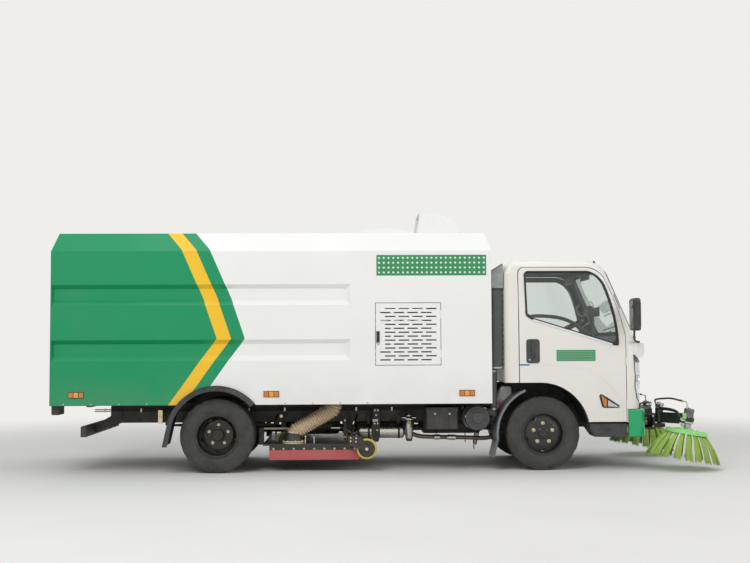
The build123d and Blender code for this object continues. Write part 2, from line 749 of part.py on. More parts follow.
with BuildPart() as cab_room:
    add(cab_inner)
    add(cavity_prism, mode=Mode.INTERSECT)
    tunnel_side = tunnel_half_width + cab_wall
    block((cab_rear_x, tunnel_front_x + cab_wall), (-tunnel_side, tunnel_side),
          (footwell_floor_z, cab_floor_z + cab_wall), mode=Mode.SUBTRACT)

# The pressed band over the wheel arch stands proud of the cab's side
with BuildPart() as flare_band:
    add(cab_form(-flare))
    add(side_prism(flare_outline, -beside_y, beside_y), mode=Mode.INTERSECT)
    block((cab_rear_x - 60, door_front_x), (-cab_half_width + 1, cab_half_width - 1), (below_z, 1200),
          mode=Mode.SUBTRACT)

# What the doors take out of the cab's shell: the door outline, a little deeper than the wall
with BuildPart() as door_holes:
    add(cab_form(-flare - 1))
    add(cab_form(cab_wall + 5), mode=Mode.SUBTRACT)
    add(door_hole_right, mode=Mode.INTERSECT)
    mirror(about=Plane.XZ)

# Corner vanes under the windscreen, which carry the mirror arms on their flat tops
vane_top = 1308
vane_front_x = cab_front_x + 64
vane_outer_y = cab_half_width - 35
with BuildPart() as vanes:
    with BuildSketch(Plane.XZ.offset(700)) as vane_side:
        with BuildLine():
            Polyline((vane_front_x - 140, vane_top), (vane_front_x, vane_top), (vane_front_x, 1204),
                     (vane_front_x - 36, 1160), (vane_front_x - 140, 1160), close=True)
        make_face()
        fillet(vane_side.vertices().sort_by(Axis.X)[-2:], 14)
    extrude(amount=vane_outer_y - 700)
    with BuildSketch(Plane.XY.offset(1100)) as vane_plan:
        with Locations((vane_front_x - 100, -(vane_outer_y + 690) / 2)):
            Rectangle(200, vane_outer_y - 690)
        fillet(vane_plan.vertices().group_by(Axis.X)[-1], 60)
    extrude(amount=300, mode=Mode.INTERSECT)
    mirror(about=Plane.XZ)

# Grille slots in the front panel and the floor's front wall: height of the lower edge, half width
grille_slots = [(700, 430), (750, 430), (800, 430), (850, 430), (1010, 330), (1060, 330)]
slot_height = 30
slot_depth = 26

with BuildPart() as cab_body:
    add(cab_outer)
    add(flare_band.part)
    add(vanes.part)
    # raised roof vent
    block((front_axle_x - 23, front_axle_x + 206), (-260, 260), (2150, 2192))
    add(cab_room.part, mode=Mode.SUBTRACT)
    add(underside, mode=Mode.SUBTRACT)
    under_footwell = cab_half_width - cab_wall
    block((tunnel_front_x + 35, cab_front_x - cab_wall), (-under_footwell, under_footwell),
          (below_z, footwell_floor_z), mode=Mode.SUBTRACT)
    block((cab_rear_x - 50, tunnel_front_x), (-tunnel_half_width, tunnel_half_width), (below_z, cab_floor_z),
          mode=Mode.SUBTRACT)
    block((cab_rear_x - 50, tunnel_front_x + 45), (-tunnel_half_width, tunnel_half_width),
          (below_z, footwell_floor_z), mode=Mode.SUBTRACT)
    add(door_holes.part, mode=Mode.SUBTRACT)
    # room for the bumper and the lamp pockets
    block((bumper_rear_x - 5, cab_clear_x), (-beside_y, beside_y), (below_z, bumper_top + 5),
          mode=Mode.SUBTRACT)
    add(lamp_pockets, mode=Mode.SUBTRACT)
    for slot_low, slot_half in grille_slots:
        block((cab_front_x + 12 - slot_depth, cab_clear_x), (-slot_half, slot_half),
              (slot_low, slot_low + slot_height), mode=Mode.SUBTRACT)
    # windscreen opening
    with BuildSketch(Plane.YZ.offset(cab_front_x - 450)) as screen_hole:
        with BuildLine():
            Polyline(*windscreen_outline, close=True)
        make_face()
        fillet(screen_hole.vertices(), glass_corner)
    extrude(amount=500, mode=Mode.SUBTRACT)
    # rear window opening
    with BuildSketch(Plane.YZ.offset(cab_rear_x - 10)):
        with Locations((0, rear_window[2])):
            RectangleRounded(rear_window[0], rear_window[1], glass_corner)
    extrude(amount=cab_wall + 20, mode=Mode.SUBTRACT)

# The cab body is split where its panels meet: roof, rear wall, front and floor
roof_seam_z = 2112
floor_seam_z = cab_floor_z + cab_wall


def cab_panel(name, x, z):
    """One panel of the cab body, cut out between two stations and two heights."""
    with BuildPart() as panel:
        add(cab_body.part)
        block(x, (-beside_y, beside_y), z, mode=Mode.INTERSECT)
    return save(panel, name)


cab_panel("cab_roof", (cab_rear_x - 100, cab_clear_x), (roof_seam_z, cab_clear_z))
cab_panel("cab_rear_wall", (cab_rear_x - 100, front_axle_x + 200), (floor_seam_z, roof_seam_z))
cab_panel("cab_front", (front_axle_x + 200, cab_clear_x), (floor_seam_z, roof_seam_z))
cab_panel("cab_floor", (cab_rear_x - 100, cab_clear_x), (below_z, floor_seam_z))

# Cab doors: the same shell inside the door outline, with the window and the handle's recess cut
handle_size = (131, 242)
handle_centre = (288, 1228)
handle_depth = 20
with BuildPart() as cab_door:
    add(cab_outer)
    add(flare_band.part)
    add(cab_inner, mode=Mode.SUBTRACT)
    add(side_prism(lambda: cab_door_outline(door_gap, door_rear_gap), -beside_y, -door_inner_y),
        mode=Mode.INTERSECT)
    add(cab_window(0), mode=Mode.SUBTRACT)
    with BuildSketch(Plane.XZ.offset(cab_half_width - handle_depth)):
        with Locations(near_rear(*handle_centre)):
            RectangleRounded(*handle_size, 18)
    extrude(amount=100, mode=Mode.SUBTRACT)
    for barrel_z in (640, 1080):
        edge_barrel(door_front_x - door_gap / 2, -cab_half_width - 3, barrel_z)
save(cab_door, "cab_door_right")
mirrored(cab_door.part, "cab_door_left")

glass_outer = cab_form(glass_inset)
glass_inner = cab_form(glass_inset + glass_thickness)
with BuildPart() as door_glass:
    add(glass_outer)
    add(glass_inner, mode=Mode.SUBTRACT)
    add(cab_window(seat_gap), mode=Mode.INTERSECT)
save(door_glass, "door_glass_right")
mirrored(door_glass.part, "door_glass_left")

# Windscreen and rear window
with BuildPart() as cab_glass:
    add(glass_outer)
    add(glass_inner, mode=Mode.SUBTRACT)
    with BuildSketch(Plane.YZ.offset(cab_front_x - 450)) as pane:
        with BuildLine():
            Polyline(*windscreen_outline, close=True)
        make_face()
        fillet(pane.vertices(), glass_corner)
        offset(amount=-seat_gap)
    extrude(amount=500, mode=Mode.INTERSECT)
    with BuildSketch(Plane.YZ.offset(cab_rear_x + glass_inset)):
        with Locations((0, rear_window[2])):
            RectangleRounded(rear_window[0] - 2 * seat_gap, rear_window[1] - 2 * seat_gap, glass_corner)
    extrude(amount=glass_thickness)
save(cab_glass, "cab_glass")

# Bumper: a wrap-around shell with two openings for the brush gear's arms and an air slot between them
gear_rail_y = 340
with BuildPart() as bumper:
    with BuildSketch(Plane.XY.offset(bumper_bottom)) as plan:
        with Locations(((bumper_rear_x + bumper_front_x) / 2, 0)):
            Rectangle(bumper_front_x - bumper_rear_x, 2 * bumper_half_width)
        fillet(plan.vertices().group_by(Axis.X)[-1], 150)
    extrude(amount=bumper_top - bumper_bottom)
    chamfer(bumper.edges().group_by(Axis.Z)[0], 15)
    fillet(bumper.edges().group_by(Axis.Z)[-1], 12)
    with BuildSketch(Plane.XY.offset(bumper_bottom - 1)) as inside:
        hollow = bumper_front_x - bumper_rear_x - bumper_wall + 20
        with Locations((bumper_front_x - bumper_wall - hollow / 2, 0)):
            Rectangle(hollow, 2 * (bumper_half_width - bumper_wall))
        fillet(inside.vertices().group_by(Axis.X)[-1], 110)
    extrude(amount=bumper_top - bumper_bottom + 2, mode=Mode.SUBTRACT)
    for hand in (-1, 1):
        block((bumper_front_x - 100, bumper_front_x + 10), (hand * gear_rail_y - 50, hand * gear_rail_y + 50),
              (425, 545), mode=Mode.SUBTRACT)
    block((bumper_front_x - 100, bumper_front_x + 10), (-240, 240), (440, 530), mode=Mode.SUBTRACT)
    # stays to the rails
    for hand in (-1, 1):
        block((rail_front_x, bumper_front_x - bumper_wall), (hand * 430 - 10, hand * 430 + 10), (500, 600))
        block((rail_front_x, rail_front_x + 10), (hand * 408 - 33, hand * 408 + 12), (500, 600))
save(bumper, "front_bumper")

# Step panels below the cab doors, each with its bracket from the rail
step_rear_x = front_axle_x + 468
step_front_x = bumper_rear_x - 19
step_top = cab_bottom - 10
with BuildPart() as steps:
    with BuildSketch(Plane.XZ.offset(640)) as panel_side:
        with BuildLine():
            Polyline((step_rear_x, step_top), (step_front_x, step_top), (step_front_x, step_top - 145),
                     (step_rear_x + 57, step_top - 139), (step_rear_x, step_top - 60), close=True)
        make_face()
        fillet(panel_side.vertices().group_by(Axis.X)[0].sort_by(Axis.Z)[0], 12)
    extrude(amount=cab_half_width - 10 - 640)
    chamfer(steps.edges().group_by(Axis.Y)[0], 6)
    block((step_rear_x + 182, step_rear_x + 262), (-640, -rail_outer_y), (rail_bottom - 40, rail_bottom + 10))
    block((step_rear_x + 182, step_rear_x + 262), (-rail_outer_y, -rail_outer_y + 60),
          (rail_bottom - 40, rail_bottom))
    mirror(about=Plane.XZ)
save(steps, "step_panels")

# Mudguards behind the front wheels, on brackets from the rails: a curved sheet with a lip and a straight flap
guard_outer = 497
guard_inner = 485
guard_lip = 470
guard_inner_y = 610
guard_outer_y = 910


def guard_outline(inner_radius, thickness):
    """Side outline of the mudguard band down to an inner radius, with its flap at the rear."""
    start, end = radians(113), radians(186)
    turns = (start, (start + end) / 2, end)
    outer = [(front_axle_x + guard_outer * cos(a), tyre_radius + guard_outer * sin(a)) for a in turns]
    inner = [(front_axle_x + inner_radius * cos(a), tyre_radius + inner_radius * sin(a)) for a in turns]
    flap_x, flap_z = near_axle(-540, 145)
    ThreePointArc(*outer)
    Polyline(outer[2], (flap_x, flap_z), (flap_x + thickness, flap_z), inner[2])
    ThreePointArc(*reversed(inner))
    Line(inner[0], outer[0])


with BuildPart() as guards:
    with BuildSketch(Plane.XZ.offset(guard_inner_y)):
        with BuildLine():
            guard_outline(guard_inner, guard_outer - guard_inner)
        make_face()
    extrude(amount=guard_outer_y - guard_inner_y)
    with BuildSketch(Plane.XZ.offset(guard_outer_y - 10)):
        with BuildLine():
            guard_outline(guard_lip, guard_outer - guard_lip)
        make_face()
    extrude(amount=10)
    block((front_axle_x - 510, front_axle_x - 470), (-guard_inner_y - 30, -rail_outer_y), (500, 540))
    mirror(about=Plane.XZ)
save(guards, "front_mudguards")

# Dashboard with the steering column and wheel, on the left
steering_tilt = 62
steering_y = 400
column_length = 260
column_foot = (cab_front_x - 380, steering_y, 1250)
column_axis = (-cos(radians(steering_tilt)), 0, sin(radians(steering_tilt)))
wheel_centre = tuple(foot + column_length * part for foot, part in zip(column_foot, column_axis))
with BuildPart() as dashboard:
    with BuildSketch(Plane.XZ.offset(-860)):
        with BuildLine():
            Polyline(near_nose(-430, 1290), near_nose(-400, 1360), near_nose(-130, 1390),
                     near_nose(-100, 1180), near_nose(-130, 1000), near_nose(-270, 1000), close=True)
        make_face()
    extrude(amount=2 * 860)
    with BuildSketch(Plane(origin=column_foot, x_dir=(0, 1, 0), z_dir=column_axis)):
        Circle(30)
    extrude(amount=column_length)
    with Locations(Plane(origin=wheel_centre, x_dir=(0, 1, 0), z_dir=column_axis)):
        Torus(205, 14)
        Cylinder(45, 30)
        Box(390, 34, 12)
    add(cab_form(cab_wall + seat_gap), mode=Mode.INTERSECT)
save(dashboard, "dashboard")

# Seats: driver's and passenger's cushions and backs
seat_base_z = cab_floor_z + cab_wall
seat_rear_x = cab_rear_x + 100
with BuildPart() as seats:
    for seat_y, width in ((steering_y, 480), (-300, 680)):
        block((seat_rear_x + 30, seat_rear_x + 530), (seat_y - width / 2, seat_y + width / 2),
              (seat_base_z, seat_base_z + 200))
        with BuildSketch(Plane.XZ.offset(-seat_y - width / 2)):
            with BuildLine():
                Polyline((seat_rear_x + 30, seat_base_z + 200), (seat_rear_x + 140, seat_base_z + 200),
                         (seat_rear_x + 90, seat_base_z + 760), (seat_rear_x, seat_base_z + 760), close=True)
            make_face()
        extrude(amount=width)
save(seats, "seats")

# Mirrors: a rounded head on a bent tube that stands on the corner vane
mirror_x = cab_front_x - 82
mirror_foot = (cab_front_x, -860)
mirror_tube = 11
with BuildPart() as mirrors:
    with BuildSketch(Plane.XY.offset(1434)):
        with Locations((mirror_x, -1090)):
            RectangleRounded(78, 190, 30)
    extrude(amount=332)
    fillet(mirrors.edges().group_by(Axis.Z)[-1], 26)
    fillet(mirrors.edges().group_by(Axis.Z)[0], 20)
    tube_z = vane_top + 14
    mirror_path = [(mirror_x - 4, -1055, 1450), (mirror_x - 4, -1040, tube_z + 30),
                   (mirror_foot[0] - 40, -920, tube_z), (*mirror_foot, tube_z)]
    with BuildLine() as arm_line:
        FilletPolyline(*mirror_path, radius=25)
    with BuildSketch(Plane(origin=mirror_path[0], z_dir=arm_line.line % 0)):
        Circle(mirror_tube)
    sweep()
    with Locations((*mirror_foot, vane_top + 8)):
        Cylinder(20, 16)
    mirror(about=Plane.XZ)
save(mirrors, "mirrors")

# Roof fan housing and the hooded outlet in front of it
hood_rear_x = body_front_x - 724
fan_rear_x = body_front_x - 1350
fan_height = 92
with BuildPart() as roof_hump:
    with BuildSketch(Plane.XZ.offset(-420)):
        with BuildLine():
            Polyline((fan_rear_x, body_top), (fan_rear_x + 51, body_top + fan_height),
                     (fan_rear_x + 442, body_top + fan_height), (hood_rear_x - 6, body_top + 23),
                     (hood_rear_x - 6, body_top), close=True)
        make_face()
    extrude(amount=840)
save(roof_hump, "roof_fan_housing")


def hood_outline(inset):
    """Side outline of the roof hood, taken in by an inset except at its open rear."""
    rear = hood_rear_x - (5 if inset else 0)
    front = hood_rear_x + 456 - inset
    bend = (hood_rear_x + 269, body_top + 250 - inset)
    Line((rear, body_top), (rear + 38, body_top + 290 - inset))
    Line((rear + 38, body_top + 290 - inset), bend)
    brow = (hood_rear_x + 397 - inset * 0.7, body_top + 190 - inset * 0.7)
    ThreePointArc(bend, brow, (front, body_top + 70))
    Line((front, body_top + 70), (front, body_top))
    Line((front, body_top), (rear, body_top))


hood_half_width = 340
hood_wall = 15
with BuildPart() as roof_hood:
    with BuildSketch(Plane.XZ.offset(-hood_half_width)):
        with BuildLine():
            hood_outline(0)
        make_face()
    extrude(amount=2 * hood_half_width)
    with BuildSketch(Plane.XZ.offset(-hood_half_width + hood_wall)):
        with BuildLine():
            hood_outline(hood_wall)
        make_face()
    extrude(amount=2 * (hood_half_width - hood_wall), mode=Mode.SUBTRACT)
    for slat_z in (60, 120, 180, 240):
        block((hood_rear_x + 69, hood_rear_x + 89), (-hood_half_width + 10, hood_half_width - 10),
              (body_top + slat_z, body_top + slat_z + 12))
save(roof_hood, "roof_hood")

# Signal lamps: side markers, tail lamp clusters and the roof beacon
marker_height = (776, 830)
marker_thickness = 12
with BuildPart() as signal_lamps:
    for hand in (-1, 1):
        face = sorted((hand * body_half_width, hand * (body_half_width + marker_thickness)))
        for marker_x in (body_rear_x + 268, rear_axle_x + 561, body_front_x - 258):
            block((marker_x - 76, marker_x + 76), face, marker_height)
        tail_y = hand * (body_half_width - 200)
        block((body_rear_x + 15, body_rear_x + 75), (tail_y - 130, tail_y + 130),
              (body_bottom - 95, body_bottom))
    with Locations((body_rear_x + 120, 0, body_top + 30)):
        Cylinder(38, 60)
save(signal_lamps, "signal_lamps")

# Air intake: the ribbed stack behind the cab with its slanted cap, the down pipe and the air cleaner
stack_x = cab_rear_x - 66
stack_y = -790
stack_top = 1949
pipe_x = cab_rear_x - 107
pipe_radius = 38
cleaner_x = body_front_x - 142
with BuildPart() as air_intake:
    with BuildSketch(Plane.XY.offset(1041)):
        with Locations((stack_x, stack_y)):
            RectangleRounded(104, 150, 20)
    extrude(amount=stack_top - 1041)
    for rib in range(13):
        with BuildSketch(Plane.XY.offset(1075 + 60 * rib)):
            with Locations((stack_x, stack_y)):
                RectangleRounded(116, 162, 24)
        extrude(amount=22)
    with BuildSketch(Plane.XZ.offset(-stack_y - 90)):
        with BuildLine():
            Polyline((stack_x - 52, stack_top - 60), (stack_x - 58, stack_top + 110),
                     (stack_x + 56, stack_top + 185), (stack_x + 56, stack_top - 60), close=True)
        make_face()
    extrude(amount=180)
    with Locations((pipe_x, stack_y, 800)):
        Cylinder(pipe_radius, 490)
    with Locations(Location((pipe_x - 45, stack_y, 595), (0, 90, 0))):
        Cylinder(pipe_radius, 90)
    with Locations(Location((cleaner_x, -710, 544), (90, 0, 0))):
        Cylinder(130, 380)
    block((cleaner_x - 43, cleaner_x + 43), (-530, -rail_outer_y), (530, 600))
save(air_intake, "air_intake")

# Battery box on the right rail
battery_x = body_front_x - 667
with BuildPart() as battery_box:
    block((battery_x, battery_x + 319), (-900, -560), (435, 651))
    chamfer(battery_box.edges().filter_by(Axis.Z), 12)
    block((battery_x + 100, battery_x + 200), (-561, -rail_outer_y), (500, 640))
save(battery_box, "battery_box")

# Fluid tanks: fuel tank on the left rail, filter bowl and slanted coolant bottle on the right
fuel_rear_x = nozzle_front_x + 20
filter_x = body_front_x - 830
bottle_inner_y = 470
with BuildPart() as fluid_tanks:
    with BuildSketch(Plane.YZ.offset(fuel_rear_x)):
        with Locations((690, 535)):
            RectangleRounded(420, 260, 60)
    extrude(amount=850)
    for strap_x in (fuel_rear_x + 150, fuel_rear_x + 630):
        block((strap_x, strap_x + 60), (rail_outer_y, 500), (520, 580))
    with Locations((filter_x, -565, 412)):
        Cylinder(50, 198)
    with Locations((filter_x, -565, 536)):
        Cylinder(60, 50)
    block((filter_x - 30, filter_x + 30), (-530, -rail_outer_y), (515, 560))
    with BuildSketch(Plane.XZ.offset(bottle_inner_y)) as bottle_side:
        with BuildLine():
            Polyline(near_axle(-380, 862), near_axle(-289, 856), near_axle(-291, 701), near_axle(-373, 606),
                     near_axle(-486, 626), near_axle(-417, 805), close=True)
        make_face()
        fillet(bottle_side.vertices(), 12)
    extrude(amount=130)
    block((front_axle_x - 440, front_axle_x - 390), (-bottle_inner_y - 1, -rail_outer_y), (630, 652))
save(fluid_tanks, "fluid_tanks")

# Suction nozzle: top plate, skirts round three sides, brackets for its wheels and the hangers to the rails
skirt = 15
nozzle_plate = 18
hanger_y = 340
with BuildPart() as nozzle:
    across = (-nozzle_half_width, nozzle_half_width)
    skirt_height = (nozzle_bottom, nozzle_top - nozzle_plate + 1)
    block((nozzle_rear_x, nozzle_front_x), across, (nozzle_top - nozzle_plate, nozzle_top))
    for hand in (-1, 1):
        skirt_y = sorted((hand * (nozzle_half_width - skirt), hand * nozzle_half_width))
        block((nozzle_rear_x + 66, nozzle_front_x - 32), skirt_y, skirt_height)
    for skirt_x in (nozzle_rear_x + 66, nozzle_front_x - 32 - skirt):
        block((skirt_x, skirt_x + skirt), across, skirt_height)
    for wheel_x, wheel_y, wheel_z in nozzle_wheels:
        for hand in (-1, 1):
            inner, outer = sorted((hand * (wheel_y - wheel_hub_half), hand * (wheel_y + 50)))
            block((wheel_x - 115, wheel_x + 115), (inner, outer), (nozzle_bottom - 20, nozzle_top + 1),
                  mode=Mode.SUBTRACT)
            plate = sorted((hand * (wheel_y - wheel_hub_half - 12), hand * (wheel_y - wheel_hub_half)))
            block((wheel_x - 25, wheel_x + 25), plate, (wheel_z - 25, nozzle_top + 40))
            reach = sorted((hand * min(wheel_y - wheel_hub_half - 1, 700), hand * (wheel_y - wheel_hub_half)))
            block((wheel_x - 25, wheel_x + 25), reach, (nozzle_top - 10, nozzle_top + 10))
            if wheel_y > nozzle_half_width:
                block((nozzle_front_x - 40, wheel_x + 25), plate, (nozzle_top - 10, nozzle_top + 10))
                bar = sorted((hand * 700, plate[1] if hand > 0 else plate[0]))
                block((nozzle_front_x - 40, nozzle_front_x), bar, (nozzle_top - 10, nozzle_top + 10))
    for hanger_x in (nozzle_rear_x + 190, nozzle_front_x - 130):
        for hand in (-1, 1):
            block((hanger_x - 25, hanger_x + 25), (hand * hanger_y - 12, hand * hanger_y + 12),
                  (nozzle_top - 1, rail_bottom))
    for hand in (-1, 1):
        with Locations((hose_low_x, hand * hose_y, nozzle_top + 25)):
            Cone(112, hose_radius + 12, 60)
            Cylinder(70, 200, mode=Mode.SUBTRACT)
save(nozzle, "suction_nozzle")

# Nozzle wheels
for position, (wheel_x, wheel_y, wheel_z) in zip(("front", "rear"), nozzle_wheels):
    with BuildPart() as small_wheel:
        with Locations(Location((wheel_x, wheel_y, wheel_z), (90, 0, 0))):
            Cylinder(nozzle_wheel_radius, 56)
            Cylinder(70, 57, mode=Mode.SUBTRACT)
            Cylinder(72, 30)
            Cylinder(22, 2 * (wheel_hub_half - shaft_gap))
    save(small_wheel, f"nozzle_wheel_{position}_left")
    mirrored(small_wheel.part, f"nozzle_wheel_{position}_right")

# Suction hoses from the nozzle's collars up into the body
hose_run = [(hose_low_x, -hose_y, nozzle_top + 55), (hose_low_x, -hose_y, 400), (hose_high_x, -hose_y, 640),
            (hose_high_x, -hose_y, body_bottom)]
with BuildPart() as hoses:
    with BuildLine() as hose_line:
        FilletPolyline(*hose_run, radius=95)
    with BuildSketch(Plane(origin=hose_run[0], z_dir=(0, 0, 1))):
        Circle(hose_radius)
    sweep()
    mirror(about=Plane.XZ)
save(hoses, "suction_hoses")

# Front brush gear: a cross beam on two arms from the rails, with the lugs that carry the brush arms
beam_rear_x = bumper_front_x + 5
beam_front_x = beam_rear_x + 173
beam_low = 395
beam_high = 565
beam_wall = 20
bolt_spacing = (180, 80)
bolt_hole_radius = 7
with BuildPart() as gear_frame:
    for hand in (-1, 1):
        y = hand * gear_rail_y
        block((rail_front_x, beam_rear_x + 27), (y - 30, y + 30), (440, 530))
        block((rail_front_x, rail_front_x + 12), (y - 34, y + 34), (rail_bottom, 560))
    block((beam_rear_x, beam_front_x), (-560, 560), (beam_low, beam_high))
    block((beam_rear_x + beam_wall, beam_front_x - beam_wall), (-570, 570),
          (beam_low + beam_wall, beam_high - beam_wall), mode=Mode.SUBTRACT)
    for hand in (-1, 1):
        y = hand * arm_pivot[1]
        block((beam_front_x, arm_pivot[0] + 50), (y - 45, y + 45), (415, 455))
        with Locations((arm_pivot[0], y, 500)):
            Cylinder(pivot_radius, 200)
    for bolt_y in (-bolt_spacing[0] / 2, bolt_spacing[0] / 2):
        for bolt_z in (-bolt_spacing[1] / 2, bolt_spacing[1] / 2):
            hole = (beam_front_x - 10, bolt_y, (beam_low + beam_high) / 2 + bolt_z)
            with Locations(Location(hole, (0, 90, 0))):
                Cylinder(bolt_hole_radius, 60, mode=Mode.SUBTRACT)
save(gear_frame, "brush_gear_frame")

# Brush arms: an upright plate from the pivot's barrel to the clamp round the motor, which leans with the
# spindle
spin = (sin(radians(brush_tilt)), 0, cos(radians(brush_tilt)))
brush_x, brush_y = brush_centre


def along_spin(distance):
    """A point on the left brush's spindle, measured up from the underside of its plate."""
    return brush_x + spin[0] * distance, brush_y, brush_plate_z + spin[2] * distance


def spindle_plane(distance):
    """Plane across the left brush's spindle."""
    return Plane(origin=along_spin(distance), x_dir=(0, 1, 0), z_dir=spin)


with BuildPart() as brush_arm:
    clamp_x = brush_x + ((arm_low + arm_high) / 2 - brush_plate_z) * spin[0] / spin[2]
    arm_angle = Vector(clamp_x - arm_pivot[0], brush_y - arm_pivot[1], 0)
    with BuildSketch(Plane(origin=(*arm_pivot, arm_low), x_dir=arm_angle, z_dir=(0, 0, 1))):
        with Locations((arm_angle.length / 2, 0)):
            SlotCenterToCenter(arm_angle.length, arm_thickness)
    extrude(amount=arm_high - arm_low)
    with Locations((*arm_pivot, 545)):
        Cylinder(barrel_radius, 150)
    with Locations((*arm_pivot, 500)):
        Cylinder(pivot_radius + shaft_gap, 300, mode=Mode.SUBTRACT)
    # the motor: a slim lower housing, the clamp and the wider upper housing
    for low, high, radius in ((motor_low, motor_step, 36), (motor_step, motor_high, motor_radius),
                              (motor_step + 23, motor_step + 63, motor_radius + 12)):
        with BuildSketch(spindle_plane(low)):
            Circle(radius)
        extrude(amount=high - low)
save(brush_arm, "brush_arm_left")
mirrored(brush_arm.part, "brush_arm_right")

# Brushes: a bevelled plate with a hub up to the motor and a crown of splayed bristle tufts
def tuft(turn):
    """One tapered tuft, rooted in the plate, splayed out to the tip circle and widest round its rim."""
    ahead, aside = cos(radians(turn)), sin(radians(turn))
    top_plane = Plane(origin=along_spin(12), x_dir=(spin[2] * ahead, aside, -spin[0] * ahead), z_dir=spin)
    with BuildPart() as form:
        with BuildSketch(top_plane):
            with Locations((brush_plate_radius - 38, 0)):
                Rectangle(34, 40)
        with BuildSketch(top_plane.offset(-12 - brush_tip_drop)):
            with Locations((brush_tip_radius - 22, 0)):
                Rectangle(44, 84)
        loft()
    return form.part


with BuildPart() as brush:
    with Locations(spindle_plane(brush_plate_height / 2)):
        Cone(brush_plate_radius, brush_plate_radius - brush_plate_bevel, brush_plate_height)
    with BuildSketch(spindle_plane(0)):
        Circle(38)
    extrude(amount=motor_low - shaft_gap)
    for turn in range(tuft_count):
        add(tuft(360 / tuft_count * turn))
save(brush, "brush_left")
mirrored(brush.part, "brush_right")
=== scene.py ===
import random
from math import atan2, cos, pi, radians, sin, sqrt

import bmesh
import bpy
from mathutils import Matrix, Vector


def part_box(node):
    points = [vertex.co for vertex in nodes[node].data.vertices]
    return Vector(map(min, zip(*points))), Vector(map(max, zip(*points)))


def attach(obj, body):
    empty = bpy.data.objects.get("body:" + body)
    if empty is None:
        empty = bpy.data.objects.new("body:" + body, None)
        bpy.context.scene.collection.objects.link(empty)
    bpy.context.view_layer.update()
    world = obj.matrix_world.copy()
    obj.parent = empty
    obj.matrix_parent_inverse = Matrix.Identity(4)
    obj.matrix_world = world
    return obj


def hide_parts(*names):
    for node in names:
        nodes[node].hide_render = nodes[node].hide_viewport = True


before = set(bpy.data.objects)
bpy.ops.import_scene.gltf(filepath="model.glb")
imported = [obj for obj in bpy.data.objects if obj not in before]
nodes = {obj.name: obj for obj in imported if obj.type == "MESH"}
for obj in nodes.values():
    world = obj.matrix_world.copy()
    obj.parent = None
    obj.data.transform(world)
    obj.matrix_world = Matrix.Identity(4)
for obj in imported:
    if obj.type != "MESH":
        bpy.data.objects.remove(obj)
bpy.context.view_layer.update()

SIDES = (("right", -1), ("left", 1))
mm = 0.001

# Places that come from the frame, and three measures that it doesn't give
body_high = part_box("body_shell")[1]
front_tyre_low, front_tyre_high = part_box("front_tyre_left")
rear_tyres_low, rear_tyres_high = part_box("rear_tyres_left")
tyre_radius = (front_tyre_high.z - front_tyre_low.z) / 2
front_axle_x = (front_tyre_high.x + front_tyre_low.x) / 2
rear_axle_x = (rear_tyres_high.x + rear_tyres_low.x) / 2
front_wheel_y = (front_tyre_high.y + front_tyre_low.y) / 2
tyre_width = front_tyre_high.y - front_tyre_low.y
dual_y = (rear_tyres_low.y + rear_tyres_high.y) / 2
outer_dual_y = rear_tyres_high.y - tyre_width / 2
inner_dual_y = 2 * dual_y - outer_dual_y
body_front_x, body_top = body_high.x, body_high.z
body_shoulder = body_top - 0.196
bead_radius = 0.212
cab_rear_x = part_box("cab_rear_wall")[0].x
cab_length = 1.4
nose_x = cab_rear_x + cab_length

# The cab's outer skin: height, front edge from the nose, half width, radius of the front corner
cab_rings = [(0.494, 0.0, 0.94, 0.15), (0.965, 0.026, 0.94, 0.15), (1.2, 0.012, 0.94, 0.15),
             (1.395, -0.044, 0.938, 0.14), (2.04, -0.317, 0.9, 0.12), (2.116, -0.36, 0.886, 0.11),
             (2.168, -0.455, 0.815, 0.1)]


def cab_at(z):
    """Front edge, half width and front corner radius of the cab's skin at a height."""
    z = max(cab_rings[0][0], min(z, cab_rings[-1][0]))
    for below, above in zip(cab_rings, cab_rings[1:]):
        if z <= above[0]:
            break
    share = (z - below[0]) / (above[0] - below[0])
    front, half, corner = (a + (b - a) * share for a, b in zip(below[1:], above[1:]))
    return nose_x + front, half, corner


def on_cab_side(x, z, s, proud=0.0):
    """A point on the cab's side skin, round the front corner where x reaches that far."""
    front, half, corner = cab_at(z)
    ahead = min(max(0.0, (x - front + corner) / corner), 0.99)
    square = sqrt(1 - ahead**2)
    return Vector((x + ahead * proud, s * (half - corner + (corner + proud) * square), z))


def on_cab_front(y, z, proud=0.0):
    """A point on the cab's front skin, round the corner where y reaches that far."""
    front, half, corner = cab_at(z)
    aside = min(max(0.0, (abs(y) - half + corner) / corner), 0.99)
    square = sqrt(1 - aside**2)
    hand = 1 if y > 0 else -1
    return Vector((front - corner + (corner + proud) * square, y + hand * aside * proud, z))


# Node and material helpers
colour_mix = {"out": 2, "data_type": "RGBA"}


def linear(code):
    """A hex colour as linear red, green, blue and an alpha of one."""
    parts = [int(code[i:i + 2], 16) / 255 for i in (1, 3, 5)]
    return [c / 12.92 if c <= 0.04045 else ((c + 0.055) / 1.055) ** 2.4 for c in parts] + [1]


def add_node(tree, kind, inputs=None, out=0, stops=(), **settings):
    """Adds a shader node with its settings, values and links, and returns one of its outputs."""
    node = tree.nodes.new("ShaderNode" + kind)
    for name, value in settings.items():
        setattr(node, name, value)
    for name, value in (inputs or {}).items():
        if isinstance(value, bpy.types.NodeSocket):
            tree.links.new(value, node.inputs[name])
        else:
            node.inputs[name].default_value = linear(value) if isinstance(value, str) else value
    for index, (position, colour) in enumerate(stops):
        points = node.color_ramp.elements
        point = points[index] if index < 2 else points.new(position)
        point.position = position
        point.color = linear(colour) if isinstance(colour, str) else (colour, colour, colour, 1)
    return node.outputs[out] if len(node.outputs) else node


